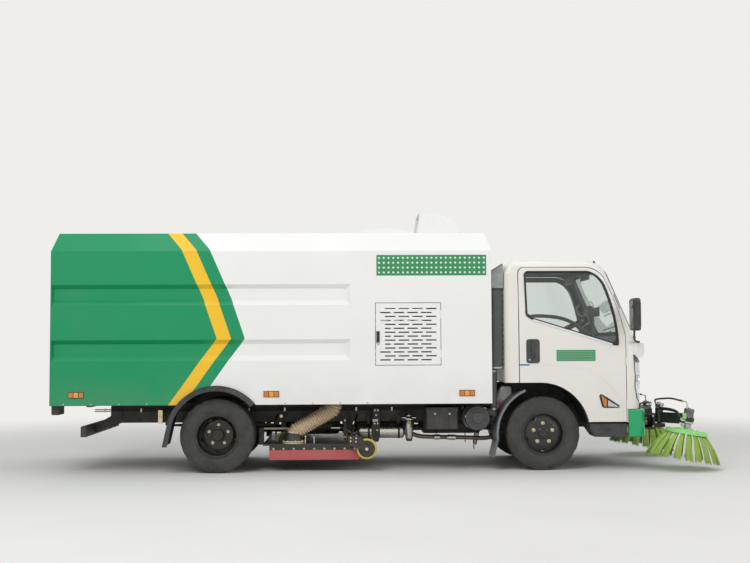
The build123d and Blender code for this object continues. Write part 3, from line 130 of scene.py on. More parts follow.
def new_tree(name):
    """An empty material, its node tree and the place of the shaded point on the piece."""
    material = bpy.data.materials.new(name)
    material.use_nodes = True
    tree = material.node_tree
    tree.nodes.clear()
    return material, tree, add_node(tree, "TexCoord", out="Object")


def grain(tree, place, size, low, high, detail=3.0):
    """A soft irregular pattern with blots of a real size in metres, mapped between two values."""
    noise = add_node(tree, "TexNoise", {"Vector": place, "Scale": 1 / size, "Detail": detail})
    return add_node(tree, "MapRange", {"Value": noise, "From Min": 0.3, "From Max": 0.7,
                                       "To Min": low, "To Max": high})


def blotted(tree, place, size, first, second, most=1.0, detail=3.0):
    """A colour with blots of another, of a real size in metres, that cover it by so much at most."""
    share = grain(tree, place, size, 0, most, detail)
    return add_node(tree, "Mix", {0: share, 6: first, 7: second}, **colour_mix)


def within(tree, limits):
    """One where every value is past its limit, from (value, where it is nought, where it is one)."""
    mask = 1.0
    for value, nought, one in limits:
        part = add_node(tree, "MapRange", {"Value": value, "From Min": nought, "From Max": one})
        mask = add_node(tree, "Math", {0: mask, 1: part}, operation="MULTIPLY")
    return mask


def surface(material, tree, colour, rough, height=None, depth=0.0, **sockets):
    """Closes a material with one Principled shader, over a relief with a real depth in metres."""
    inputs = {"Base Color": colour, "Roughness": rough}
    if height is not None:
        inputs["Normal"] = add_node(tree, "Bump", {"Height": height, "Distance": depth, "Strength": 1.0})
    inputs.update({name.replace("_", " "): value for name, value in sockets.items()})
    add_node(tree, "OutputMaterial", {"Surface": add_node(tree, "BsdfPrincipled", inputs)})
    return material


def dusted(tree, place, colour, amount, top=1.1, film="#9A907E"):
    """Road film: a dry grey-brown bloom that thickens in blots towards the ground."""
    height = add_node(tree, "SeparateXYZ", {0: place}, out="Z")
    low = add_node(tree, "MapRange", {"Value": height, "From Max": top, "To Min": amount, "To Max": 0.0})
    blots = grain(tree, place, 0.18, 0.3, 1.0, 6.0)
    share = add_node(tree, "Math", {0: low, 1: blots}, operation="MULTIPLY", use_clamp=True)
    return add_node(tree, "Mix", {0: share, 6: colour, 7: film}, **colour_mix)


# Livery: the line where green meets white, as pairs of height and place along X
livery_low, livery_high = 0.697, 2.466
livery_edge = [(0.697, -1.96), (0.909, -1.806), (1.213, -1.591), (1.372, -1.469), (1.775, -1.607),
               (1.95, -1.683), (2.283, -1.829), (2.466, -1.99)]
edge_rear, edge_span = -2.0, 0.6
livery_green, livery_yellow, livery_white = "#00915D", "#F6C42B", "#F1F1EF"
# Each colour holds ahead of its distance from that line
livery_steps = ((-0.286, livery_yellow), (-0.14, livery_green), (0.0, livery_white))


def livery(tree, place):
    """Green rear field with a yellow band that bends at the middle height, ahead of it white."""
    x = add_node(tree, "SeparateXYZ", {0: place}, out="X")
    z = add_node(tree, "SeparateXYZ", {0: place}, out="Z")
    share = add_node(tree, "MapRange", {"Value": z, "From Min": livery_low, "From Max": livery_high})
    stops = [((z_at - livery_low) / (livery_high - livery_low), (x_at - edge_rear) / edge_span)
             for z_at, x_at in livery_edge]
    edge = add_node(tree, "ValToRGB", {"Fac": share}, stops=stops)
    edge_x = add_node(tree, "MapRange",
                      {"Value": edge, "To Min": edge_rear, "To Max": edge_rear + edge_span})
    ahead = add_node(tree, "Math", {0: x, 1: edge_x}, operation="SUBTRACT")
    colour = livery_green
    for step, after in livery_steps:
        mask = within(tree, [(ahead, step - 0.0012, step + 0.0012)])
        colour = add_node(tree, "Mix", {0: mask, 6: colour, 7: after}, **colour_mix)
    return colour


def enamel(name, coat, rough=0.26, clear=0.15, film=0.35):
    """Sprayed enamel on sheet steel: even colour under a gloss coat, faint orange peel, film low down."""
    material, tree, place = new_tree(name)
    colour = coat(tree, place) if callable(coat) else coat
    colour = dusted(tree, place, blotted(tree, place, 0.7, colour, "#7F8079", 0.055, 2.0), film)
    peel = grain(tree, place, 6 * mm, 0, 1, 1.0)      # real peel is 1 to 2 mm, drawn coarser
    gloss = grain(tree, place, 0.25, rough - 0.04, rough + 0.06)
    return surface(material, tree, colour, gloss, peel, 0.012 * mm, Coat_Weight=clear,
                   Coat_Roughness=0.08, Specular_IOR_Level=0.35)


def cab_skin(name, coat, inner, under):
    """Cab panels: gloss enamel outside, moulded grey trim inside, matt underseal in the arches."""
    material, tree, place = new_tree(name)
    normal = add_node(tree, "TexCoord", out="Normal")
    from_middle = add_node(tree, "VectorMath", {0: place, 1: (1.75, 0, 1.5)}, operation="SUBTRACT")
    facing = add_node(tree, "VectorMath", {0: normal, 1: from_middle}, out="Value", operation="DOT_PRODUCT")
    outside = within(tree, [(facing, -0.03, -0.01)])
    x = add_node(tree, "SeparateXYZ", {0: place}, out="X")
    z = add_node(tree, "SeparateXYZ", {0: place}, out="Z")
    normal_y = add_node(tree, "SeparateXYZ", {0: normal}, out="Y")
    flat_side = add_node(tree, "Math", {0: normal_y}, operation="ABSOLUTE")
    arch = within(tree, [(flat_side, 0.5, 0.45), (z, 0.925, 0.915), (x, 2.45, 2.44), (x, 1.213, 1.217)])
    paint = blotted(tree, place, 0.6, dusted(tree, place, coat, 0.3, top=1.0), "#8D8B80", 0.05, 2.0)
    colour = add_node(tree, "Mix", {0: outside, 6: inner, 7: paint}, **colour_mix)
    colour = add_node(tree, "Mix", {0: arch, 6: colour, 7: under}, **colour_mix)
    rough = add_node(tree, "MapRange", {"Value": outside, "To Min": 0.62, "To Max": 0.27})
    rough = add_node(tree, "Mix", {0: arch, 6: rough, 7: (0.8, 0.8, 0.8, 1)}, **colour_mix)
    peel = grain(tree, place, 6 * mm, 0, 1, 1.0)
    return surface(material, tree, colour, rough, peel, 0.012 * mm, Coat_Weight=0.2,
                   Coat_Roughness=0.1, Specular_IOR_Level=0.4)


def body_skin(name):
    """Body shell: livery enamel outside, bare dull steel in the bin, black underseal below."""
    material, tree, place = new_tree(name)
    x, y, z = (add_node(tree, "SeparateXYZ", {0: place}, out=letter) for letter in "XYZ")
    wide = add_node(tree, "Math", {0: y}, operation="ABSOLUTE")
    above = add_node(tree, "Math", {0: z, 1: -body_shoulder}, operation="ADD")
    bevel = add_node(tree, "Math", {0: above, 1: 0.765, 2: wide}, operation="MULTIPLY_ADD")
    inside = within(tree, [(bevel, 0.975, 0.965), (wide, 0.9495, 0.9455), (z, 2.435, 2.425),
                           (x, 1.005, 0.995), (x, -3.41, -3.39)])
    ride = add_node(tree, "CombineXYZ", {0: x, 1: 0.0, 2: z})
    reach = add_node(tree, "VectorMath", {0: ride, 1: (rear_axle_x, 0, tyre_radius)}, out="Value",
                     operation="DISTANCE")
    below, housing = within(tree, [(z, 0.7, 0.698)]), within(tree, [(reach, 0.516, 0.512)])
    dark = add_node(tree, "Math", {0: below, 1: housing}, operation="MAXIMUM")
    paint = blotted(tree, place, 0.7, livery(tree, place), "#83857F", 0.05, 2.0)
    paint = dusted(tree, place, paint, 0.42, top=1.05)
    steel = blotted(tree, place, 0.12, "#6E6A62", "#8B877E", detail=6.0)
    colour = add_node(tree, "Mix", {0: inside, 6: paint, 7: steel}, **colour_mix)
    colour = add_node(tree, "Mix", {0: dark, 6: colour, 7: "#1B1B1A"}, **colour_mix)
    dull = add_node(tree, "Math", {0: inside, 1: dark}, operation="MAXIMUM")
    rough = add_node(tree, "MapRange", {"Value": dull, "To Min": 0.27, "To Max": 0.75})
    peel = grain(tree, place, 6 * mm, 0, 1, 1.0)
    return surface(material, tree, colour, rough, peel, 0.012 * mm, Coat_Weight=0.15,
                   Coat_Roughness=0.08, Specular_IOR_Level=0.35)


def chassis_paint(name, coat="#1C1C1B", rough=0.5, film=0.55, clear=0.0):
    """Satin chassis paint over rolled steel: slightly wavy, dull with dust, rust in few spots."""
    material, tree, place = new_tree(name)
    colour = blotted(tree, place, 0.06, coat, "#34322F", 0.5, 6.0)
    rust = add_node(tree, "MapRange", {"Value": grain(tree, place, 0.045, 0, 1, 8.0), "From Min": 0.93,
                                       "To Max": 0.55})
    colour = add_node(tree, "Mix", {0: rust, 6: colour, 7: "#5B3A24"}, **colour_mix)
    colour = dusted(tree, place, colour, film, top=0.9, film="#7C7465")
    rough = grain(tree, place, 0.08, rough - 0.08, rough + 0.15)
    lumps = grain(tree, place, 5 * mm, 0, 1, 4.0)
    return surface(material, tree, colour, rough, lumps, 0.12 * mm, Coat_Weight=clear, Coat_Roughness=0.15)


def cast_iron(name):
    """Sand-cast iron under thin grey paint: a coarse skin that holds oil and dust."""
    material, tree, place = new_tree(name)
    colour = blotted(tree, place, 0.05, "#3C3F40", "#55554F", detail=6.0)
    skin = grain(tree, place, 2.5 * mm, 0, 1, 3.0)     # sand grain is about 0.3 mm, drawn coarser
    return surface(material, tree, colour, 0.62, skin, 0.3 * mm, Metallic=0.25)


def bright_metal(name, coat, rough, wear="#8F8B82"):
    """Plated steel: a mirror under fine wipe marks, hazed where dust has settled."""
    material, tree, place = new_tree(name)
    colour = blotted(tree, place, 0.02, coat, wear, 0.5, 5.0)
    return surface(material, tree, colour, grain(tree, place, 0.01, rough - 0.05, rough + 0.1),
                   Metallic=1.0)


def vulcanised_rubber(name, coat, film):
    """Tyre rubber: dry and grey-black, fine mould grain, dust in the low places."""
    material, tree, place = new_tree(name)
    colour = blotted(tree, place, 0.05, coat, "#434340", detail=8.0)
    colour = blotted(tree, place, 0.16, colour, "#6B675F", film, 5.0)
    skin = grain(tree, place, 1.5 * mm, 0, 1, 3.0)
    return surface(material, tree, colour, 0.78, skin, 0.08 * mm, Specular_IOR_Level=0.35)


def grained_plastic(name, coat, rough=0.55, size=2.2 * mm):
    """Injection-moulded polypropylene with a leather-like grain: matt, slightly bloomed by the sun."""
    material, tree, place = new_tree(name)
    colour = blotted(tree, place, 0.09, coat, "#5A5A58", 0.45, 5.0)
    cells = add_node(tree, "TexVoronoi", {"Vector": place, "Scale": 1 / size}, out="Distance")
    return surface(material, tree, colour, rough, cells, 0.08 * mm, IOR=1.49)


def rubber_moulding(name, coat="#141414", rough=0.5):
    """Extruded seal rubber: even black with a faint sheen along its crown."""
    material, tree, place = new_tree(name)
    return surface(material, tree, blotted(tree, place, 0.03, coat, "#2C2C2B", 0.4), rough, IOR=1.52)


def tempered_glass(name, tint="#EBF1EE"):
    """A thin clear pane or lens with a faint tint. Shadow rays go straight through it."""
    material, tree, place = new_tree(name)
    pane = add_node(tree, "BsdfPrincipled", {"Base Color": tint, "Roughness": 0.015, "IOR": 1.5,
                                             "Transmission Weight": 1.0})
    clear = add_node(tree, "BsdfTransparent", {"Color": "#D5DFDB"})
    shadow = add_node(tree, "LightPath", out="Is Shadow Ray")
    add_node(tree, "OutputMaterial", {"Surface": add_node(tree, "MixShader",
                                                          {0: shadow, 1: pane, 2: clear})})
    return material


def moulded_lens(name, coat, depth, rough=0.08, flute=9 * mm):
    """Moulded lamp plastic: glossy, deep in colour, with vertical flutes on its inner face."""
    material, tree, place = new_tree(name)
    x = add_node(tree, "SeparateXYZ", {0: place}, out="X")
    turns = add_node(tree, "Math", {0: x, 1: 2 * pi / flute}, operation="MULTIPLY")
    wave = add_node(tree, "Math", {0: turns}, operation="SINE")
    colour = blotted(tree, place, 0.05, coat, "#FFFFFF", 0.06)
    return surface(material, tree, colour, rough, wave, 0.5 * mm, IOR=1.49, Transmission_Weight=depth,
                   Coat_Weight=0.5)


def ribbed_duct(name, coat, blot):
    """Polyurethane duct over a spring wire: tan, waxy, a little see-through, a light film low down. Its tan
    is drawn lighter than the duct's own, a painted brightening for the shade under the body.
    """
    material, tree, place = new_tree(name)
    colour = dusted(tree, place, blotted(tree, place, 0.07, coat, blot, detail=5.0), 0.1, top=0.5,
                    film="#8F7D66")
    return surface(material, tree, colour, 0.42, Subsurface_Weight=0.08, Subsurface_Scale=0.01,
                   Coat_Weight=0.2)


def poly_bristle(name, coat, tip):
    """Polypropylene bristle, drawn by the handful: waxy lime green that dulls to olive at the worn tips."""
    material, tree, place = new_tree(name)
    z = add_node(tree, "SeparateXYZ", {0: place}, out="Z")
    fade = add_node(tree, "MapRange", {"Value": z, "From Min": 0.34, "From Max": 0.1})
    strands = grain(tree, place, 0.012, 0.0, 0.55, 6.0)
    share = add_node(tree, "Math", {0: fade, 1: 0.55, 2: strands}, operation="MULTIPLY_ADD", use_clamp=True)
    colour = add_node(tree, "Mix", {0: share, 6: coat, 7: tip}, **colour_mix)
    return surface(material, tree, colour, 0.5, Subsurface_Weight=0.1, Subsurface_Scale=0.005)


def moulded_colour(name, coat, rough=0.4, film=0.3):
    """Solid-coloured moulded plastic or rubber: an even tint with soft mottling and a little dust."""
    material, tree, place = new_tree(name)
    colour = dusted(tree, place, blotted(tree, place, 0.04, coat, "#8A8578", 0.25, 5.0), film)
    skin = grain(tree, place, 3 * mm, 0, 1, 2.0)
    return surface(material, tree, colour, rough, skin, 0.05 * mm)


def woven_cloth(name, coat, thread=2.4 * mm):
    """Plain-weave seat cloth: crossing threads, drawn twice as coarse as real so that they show."""
    material, tree, place = new_tree(name)
    turns = add_node(tree, "VectorMath", {0: place, "Scale": 2 * pi / thread}, operation="SCALE")
    waves = add_node(tree, "VectorMath", {0: turns}, operation="SINE")
    x, y, z = (add_node(tree, "SeparateXYZ", {0: waves}, out=letter) for letter in "XYZ")
    weave = add_node(tree, "Math", {0: x, 1: y}, operation="MULTIPLY")
    weave = add_node(tree, "Math", {0: weave, 1: z}, operation="ADD")
    colour = blotted(tree, place, 0.05, coat, "#3A3B3E", detail=6.0)
    return surface(material, tree, colour, 0.9, weave, 0.3 * mm, Sheen_Weight=0.3)


def coolant_bottle(name):
    """Milky polyethylene with pink coolant in its lower half."""
    material, tree, place = new_tree(name)
    z = add_node(tree, "SeparateXYZ", {0: place}, out="Z")
    above = within(tree, [(z, 0.685, 0.725)])
    colour = add_node(tree, "Mix", {0: above, 6: "#EE7F98", 7: "#F4F4F2"}, **colour_mix)
    return surface(material, tree, colour, 0.38, Subsurface_Weight=0.25, Subsurface_Scale=0.02)


backdrop_colour = "#EFEEEB"


def toward_camera(tree):
    """One for what the camera sees straight, in a gloss or through glass, nought for other light."""
    seen = add_node(tree, "LightPath", out="Is Camera Ray")
    for kind in ("Is Glossy Ray", "Is Transmission Ray"):
        seen = add_node(tree, "Math", {0: seen, 1: add_node(tree, "LightPath", out=kind)},
                        operation="MAXIMUM")
    return seen


def pale_floor(name):
    """A plain pale studio floor: it keeps the shadow near by and turns into the backdrop far off."""
    material, tree, place = new_tree(name)
    colour = blotted(tree, place, 1.5, "#E4E2DF", "#DCDAD6", 0.5)
    matt = add_node(tree, "BsdfPrincipled", {"Base Color": colour, "Roughness": 0.75})
    glow = add_node(tree, "Emission", {"Color": backdrop_colour, "Strength": 1.0})
    reach = add_node(tree, "VectorMath", {0: place}, out="Value", operation="LENGTH")
    far = add_node(tree, "MapRange", {"Value": reach, "From Min": 4.5, "From Max": 11.0},
                   interpolation_type="SMOOTHSTEP")
    share = add_node(tree, "Math", {0: far, 1: toward_camera(tree)}, operation="MULTIPLY")
    add_node(tree, "OutputMaterial", {"Surface": add_node(tree, "MixShader", {0: share, 1: matt, 2: glow})})
    return material


body_paint = body_skin("livery_enamel_on_steel")
panel_paint = enamel("livery_enamel_on_panels", livery)
cab_paint = cab_skin("creamy_enamel_with_trim", "#E9E6DF", "#565C5F", "#161616")
cab_white = enamel("creamy_enamel", "#E9E6DF", film=0.2)
bumper_paint = enamel("green_enamel", "#00A466", rough=0.2, clear=0.4, film=0.02)
chassis_black = chassis_paint("satin_chassis_black")
gear_black = chassis_paint("satin_gear_black", "#161616", 0.38, 0.25)
wheel_black = chassis_paint("stoved_wheel_black", "#0C0D0D", 0.34, 0.02, 0.25)
engine_iron = cast_iron("painted_cast_iron")
tyre_rubber = vulcanised_rubber("vulcanised_tyre_rubber", "#373836", 0.22)
black_plastic = grained_plastic("grained_black_polypropylene", "#2B2C2D")
dark_plastic = grained_plastic("grained_dark_grey_plastic", "#3B3D3E", 0.5)
# pale grey plastic: the sun visors' own colour, and on the front mudguards a painted sheen along the rolled
# edge
pale_plastic_and_painted_sheen = grained_plastic("pale_plastic_and_painted_guard_sheen", "#8B8F92", 0.5)
guard_plastic = grained_plastic("grey_mudguard_plastic", "#5F6468", 0.5)
dash_plastic = grained_plastic("soft_dash_plastic", "#6E7271", 0.7)
seal_rubber = rubber_moulding("extruded_seal_rubber")
hose_rubber = rubber_moulding("hydraulic_hose_rubber", "#111111", 0.4)
glass = tempered_glass("green_cast_safety_glass")
chrome = bright_metal("bright_chrome", "#E8E8E6", 0.12)
zinc = bright_metal("zinc_plated_steel", "#C9C6BD", 0.34)
gold_zinc = bright_metal("yellow_passivated_zinc", "#F3E6BE", 0.34, "#CBBB8A")
aluminium = bright_metal("cast_aluminium", "#BEBFBC", 0.42, "#85857F")
motor_grey = chassis_paint("grey_motor_paint", "#6A6C6C", 0.42, 0.15)
amber_lens = moulded_lens("amber_lamp_plastic", "#C77800", 0.03)
amber_bright = moulded_lens("bright_amber_lamp_plastic", "#F0A000", 0.03)
red_lens = moulded_lens("red_lamp_plastic", "#B3120C", 0.25)
white_lens = moulded_lens("milky_lamp_plastic", "#EDEDEA", 0.35, 0.05)
clear_lens = tempered_glass("clear_lamp_polycarbonate", "#FAFCFC")
# both tans are lightened against the shade under the body; the paler rib tan is a painted highlight on the
# ribs' crests
duct_tan = ribbed_duct("tan_polyurethane_duct", "#C9AE8B", "#BCA17E")
duct_rib_painted_highlight = ribbed_duct("duct_rib_crests_painted_highlight", "#F1E3CB", "#E4D3B5")
bristle_green = poly_bristle("lime_polypropylene_bristle", "#A3C855", "#869F42")
plate_green = moulded_colour("lime_moulded_plate", "#8ADB76", 0.4, 0.05)
skirt_red = moulded_colour("red_skirt_rubber", "#C2494F", 0.6, 0.2)
wheel_yellow = moulded_colour("yellow_polyurethane_tyre", "#D9C33C", 0.45, 0.25)
cream_paint = moulded_colour("cream_painted_flange", "#D8CC9F", 0.45, 0.3)
tape_blue = moulded_colour("blue_tape", "#1F6FBE", 0.5, 0.0)
sign_green = moulded_colour("green_sign_vinyl", "#0B8E54", 0.4, 0.0)
# the door sill strip is chrome: its matt white is a painted reflection of the pale floor and backdrop
sill_painted_reflection_white = moulded_colour("sill_chrome_as_painted_white_reflection", "#F6F6FA", 0.3, 0.0)
dot_white = moulded_colour("white_sign_vinyl", "#F0F3EE", 0.35, 0.05)
seat_cloth = woven_cloth("woven_seat_cloth", "#4A4C50")
seat_piping = rubber_moulding("vinyl_seat_piping", "#232427", 0.45)
bottle = coolant_bottle("milky_coolant_bottle")
intake_grey = grained_plastic("grey_intake_plastic", "#9DA2A1", 0.5)
stack_grey = grained_plastic("ribbed_stack_plastic", "#4F5456", 0.5)
silencer_steel = bright_metal("aluminised_silencer_steel", "#DEDBD2", 0.26, "#B5ADA0")
pipe_steel = bright_metal("heat_stained_pipe_steel", "#8D8272", 0.5, "#5D5042")
reflector_bright = bright_metal("vacuum_plated_reflector", "#F0F1F2", 0.1, "#C9CCCE")
mirror_silver = bright_metal("silvered_mirror_glass", "#727A7D", 0.06, "#6A7174")


def put_in_scene(name, data):
    """A new object with its data, in the scene."""
    thing = bpy.data.objects.new(name, data)
    bpy.context.scene.collection.objects.link(thing)
    return thing


# Mesh helper: one piece is gathered from simple exact forms, each with its own material
class Piece:
    def __init__(self):
        self.points = []
        self.faces = []
        self.skins = []
        self.materials = []

    def add(self, points, faces, material):
        """Adds points and faces of one material."""
        if material not in self.materials:
            self.materials.append(material)
        skin = self.materials.index(material)
        base = len(self.points)
        self.points += [tuple(p) for p in points]
        self.faces += [tuple(base + i for i in face) for face in faces]
        self.skins += [skin] * len(faces)

    def block(self, x, y, z, material, turn=None):
        """A block between limits on each axis, if asked turned by a matrix about its middle."""
        corners = [Vector((a, b, c)) for a in sorted(x) for b in sorted(y) for c in sorted(z)]
        if turn is not None:
            centre = sum(corners, Vector()) / 8
            corners = [centre + turn @ (corner - centre) for corner in corners]
        faces = [(0, 1, 3, 2), (4, 6, 7, 5), (0, 4, 5, 1), (2, 3, 7, 6), (0, 2, 6, 4), (1, 5, 7, 3)]
        self.add(corners, faces, material)

    def rings(self, rings, material, closed=False, caps=True):
        """A skin through rings of as many points each."""
        count = len(rings[0])
        faces = []
        pairs = len(rings) if closed else len(rings) - 1
        for ring in range(pairs):
            after = (ring + 1) % len(rings)
            for i in range(count):
                j = (i + 1) % count
                faces.append((ring * count + i, ring * count + j, after * count + j, after * count + i))
        if caps and not closed:
            faces.append(tuple(range(count))[::-1])
            faces.append(tuple((len(rings) - 1) * count + i for i in range(count)))
        self.add([p for ring in rings for p in ring], faces, material)

    def lathe(self, profile, centre, axis, material, steps=32):
        """A form turned about an axis through a centre, from pairs of a place along it and a radius."""
        along = Vector(axis).normalized()
        first, second = cross_axes(along)
        rings = []
        for distance, radius in profile:
            middle = Vector(centre) + along * distance
            rings.append([middle + (first * cos(a) + second * sin(a)) * max(radius, 1e-5)
                          for a in around(steps)])
        self.rings(rings, material)

    def disc(self, radius, height, centre, axis, material, steps=32):
        """A plain round disc or rod, from a centre along an axis."""
        self.lathe([(0, 0), (0, radius), (height, radius), (height, 0)], centre, axis, material, steps)

    def tube(self, path, radius, material, steps=12, closed=False):
        """A round bar along a path of points. The radius may be a list."""
        path = [Vector(p) for p in path]
        radii = radius if isinstance(radius, (list, tuple)) else [radius] * len(path)
        rings = []
        side = None
        for i, point in enumerate(path):
            before = path[i - 1] if i or closed else point
            after = path[(i + 1) % len(path)] if i < len(path) - 1 or closed else point
            along = (after - before).normalized()
            side = cross_axes(along)[0] if side is None else (side - along * side.dot(along)).normalized()
            other = along.cross(side)
            rings.append([point + (side * cos(a) + other * sin(a)) * radii[i] for a in around(steps)])
        self.rings(rings, material, closed)

    def prism(self, outline, y_from, y_to, material):
        """A plate with a closed side outline in X and Z, between two lateral planes."""
        self.rings([[Vector((x, y, z)) for x, z in outline] for y in (y_from, y_to)], material)

    def skin(self, rows, material, back=None):
        """A sheet through rows of points. With rows behind it, a closed shell between the two."""
        wide, tall = len(rows[0]), len(rows)
        sheets = [rows] if back is None else [rows, back]
        points = [p for sheet in sheets for row in sheet for p in row]
        faces = []
        for sheet in range(len(sheets)):
            base = sheet * wide * tall
            faces += [(base + r * wide + i, base + r * wide + i + 1, base + (r + 1) * wide + i + 1,
                       base + (r + 1) * wide + i) for r in range(tall - 1) for i in range(wide - 1)]
        if back is not None:
            rim = (list(range(wide)) + [r * wide + wide - 1 for r in range(1, tall)]
                   + [(tall - 1) * wide + i for i in range(wide - 2, -1, -1)]
                   + [r * wide for r in range(tall - 2, 0, -1)])
            under = wide * tall
            faces += [(a, b, under + b, under + a) for a, b in zip(rim, rim[1:] + rim[:1])]
        self.add(points, faces, material)

    def bolt(self, centre, axis, size, material, washer=None, height=0.6):
        """A hexagon head of a real width across flats, on a washer."""
        corner = size / sqrt(3)
        rise = size * height
        if washer:
            self.disc(washer, 0.0025, centre, axis, material, 20)
        self.lathe([(0, 0), (0, corner), (rise * 0.85, corner), (rise, corner * 0.86), (rise, 0)],
                   centre, axis, material, 6)

    def done(self, name, body, replaces=(), bevel=0.0, angle=32):
        """Makes the object, smooths it below an angle, and sets its body and hides the nodes it replaces.
        """
        mesh = bpy.data.meshes.new(name)
        mesh.from_pydata(self.points, [], self.faces)
        mesh.polygons.foreach_set("material_index", self.skins)
        for material in self.materials:
            mesh.materials.append(material)
        mesh.validate()
        form = bmesh.new()
        form.from_mesh(mesh)
        bmesh.ops.recalc_face_normals(form, faces=form.faces)
        form.to_mesh(mesh)
        form.free()
        mesh.shade_smooth()
        mesh.set_sharp_from_angle(angle=radians(angle))
        piece = put_in_scene(name, mesh)
        if bevel:
            edge = piece.modifiers.new("edge", "BEVEL")
            edge.width = bevel
            edge.segments = 2
            edge.limit_method = "ANGLE"
            edge.angle_limit = radians(40)
            edge.harden_normals = True
        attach(piece, body)
        if replaces:
            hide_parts(*replaces)
        return piece


def around(count, start=0.0):
    """So many even angles round a full turn."""
    return [start + 2 * pi * k / count for k in range(count)]


def cross_axes(along):
    """Two directions square to an axis and to each other."""
    helper = Vector((0, 0, 1)) if abs(along.z) < 0.9 else Vector((1, 0, 0))
    first = along.cross(helper).normalized()
    return first, along.cross(first)


def arc(centre, radius, start, end, count):
    """Points in X and Z along an arc, angles in degrees from +X towards +Z."""
    angles = [radians(start + (end - start) * i / (count - 1)) for i in range(count)]
    return [(centre[0] + radius * cos(a), centre[1] + radius * sin(a)) for a in angles]


def rounded(x_low, x_high, z_low, z_high, corner, count):
    """A rectangle with round corners, anticlockwise from the top of its right side."""
    centres = ((x_high - corner, z_high - corner), (x_low + corner, z_high - corner),
               (x_low + corner, z_low + corner), (x_high - corner, z_low + corner))
    return [point for turn, centre in enumerate(centres)
            for point in arc(centre, corner, 90 * turn, 90 * turn + 90, count)]


def through(first, middle, last, count):
    """Points along the arc through three points in X and Z."""
    (ax, az), (bx, bz), (cx, cz) = first, middle, last
    turn = 2 * (ax * (bz - cz) + bx * (cz - az) + cx * (az - bz))
    ux = ((ax**2 + az**2) * (bz - cz) + (bx**2 + bz**2) * (cz - az) + (cx**2 + cz**2) * (az - bz)) / turn
    uz = ((ax**2 + az**2) * (cx - bx) + (bx**2 + bz**2) * (ax - cx) + (cx**2 + cz**2) * (bx - ax)) / turn
    radius = sqrt((ax - ux) ** 2 + (az - uz) ** 2)
    angles = [atan2(z - uz, x - ux) for x, z in (first, middle, last)]
    start, end = angles[0], angles[2]
    if (end - start) % (2 * pi) < (angles[1] - start) % (2 * pi):
        start, end = start, start - (start - end) % (2 * pi)
    else:
        end = start + (end - start) % (2 * pi)
    angles = [start + (end - start) * i / (count - 1) for i in range(count)]
    return [(ux + radius * cos(a), uz + radius * sin(a)) for a in angles]


def smooth_path(points, count):
    """A smooth line through given points."""
    points = [Vector(p) for p in points]
    ends = [2 * points[0] - points[1], *points, 2 * points[-1] - points[-2]]
    line = []
    for i in range(1, len(ends) - 2):
        a, b, c, d = ends[i - 1:i + 3]
        for k in range(count):
            t = k / count
            line.append(0.5 * ((2 * b) + (c - a) * t + (2 * a - 5 * b + 4 * c - d) * t * t
                               + (3 * b - a - 3 * c + d) * t ** 3))
    return line + [points[-1]]


# Finishes of the solid model's own pieces
node_finish = {
    body_paint: ["body_shell"],
    panel_paint: ["rear_door", "side_hatch_left", "side_hatch_right", "roof_fan_housing", "roof_hood"],
    cab_paint: ["cab_roof", "cab_rear_wall", "cab_front", "cab_floor", "cab_door_left", "cab_door_right"],
    bumper_paint: ["front_bumper"],
    chassis_black: ["chassis_frame", "front_axle", "rear_axle", "drive_shaft", "knuckle_left",
                    "knuckle_right", "rear_underrun", "battery_box"],
    gear_black: ["brush_gear_frame", "suction_nozzle", "brush_arm_left", "brush_arm_right"],
    wheel_black: ["front_rim_left", "front_rim_right", "rear_rim_left", "rear_rim_right"],
    engine_iron: ["engine_blocks"],
    glass: ["door_glass_left", "door_glass_right", "cab_glass"],
    black_plastic: ["step_panels", "rear_fenders", "mirrors"],
    guard_plastic: ["front_mudguards"],
    stack_grey: ["air_intake"],
    dash_plastic: ["dashboard"],
    duct_tan: ["suction_hoses"],
    seat_cloth: ["seats"],
    wheel_yellow: ["nozzle_wheel_front_left", "nozzle_wheel_front_right", "nozzle_wheel_rear_left",
                   "nozzle_wheel_rear_right"],
}
for finish, names in node_finish.items():
    for name in names:
        solid = nodes[name]
        solid.data.materials.clear()
        solid.data.materials.append(finish)


# Tyres
def tyre_profile():
    """Half of the tyre's section, from the tread's middle to the bead, as (axial, radius)."""
    crown = [(0.0, 0.38), (0.016, 0.3799), (0.018, 0.372), (0.025, 0.372), (0.027, 0.3797), (0.047, 0.3793),
             (0.049, 0.3715), (0.056, 0.3715), (0.058, 0.3787), (0.074, 0.377)]
    shoulder = [(0.0795, 0.3735), (0.0835, 0.366), (0.0865, 0.352)]
    wall = [(0.0925, 0.34), (0.0935, 0.336), (0.0955, 0.322), (0.0966, 0.302), (0.0958, 0.28),
            (0.0938, 0.262), (0.0935, 0.259), (0.0915, 0.256), (0.0893, 0.24), (0.0868, 0.232),
            (0.0868, 0.228), (0.0855, 0.222), (0.0838, bead_radius)]
    return crown + shoulder + wall


def tyre(piece, x, y, steps=132):
    """A ribbed truck tyre: zigzag grooves, notched shoulders and a ringed side wall."""
    half = tyre_profile()
    profile = [(-a, r) for a, r in reversed(half[1:])] + half
    rings = []
    for step in range(steps):
        angle = 2 * pi * step / steps
        wobble = 0.0035 * (1 if step % 12 < 6 else -1) * (1 - abs((step % 6) - 2.5) / 6)
        ring = []
        for axial, radius in profile:
            shift = wobble if abs(axial) < 0.07 and radius > 0.36 else 0
            notch = 0.0065 if step % 6 in (0, 1) and 0.055 < abs(axial) < 0.088 and radius > 0.35 else 0
            reach = radius - notch
            ring.append(Vector((x + reach * cos(angle), y + axial + shift,
                                tyre_radius + reach * sin(angle))))
        rings.append(ring)
    piece.rings(rings, tyre_rubber, closed=True)


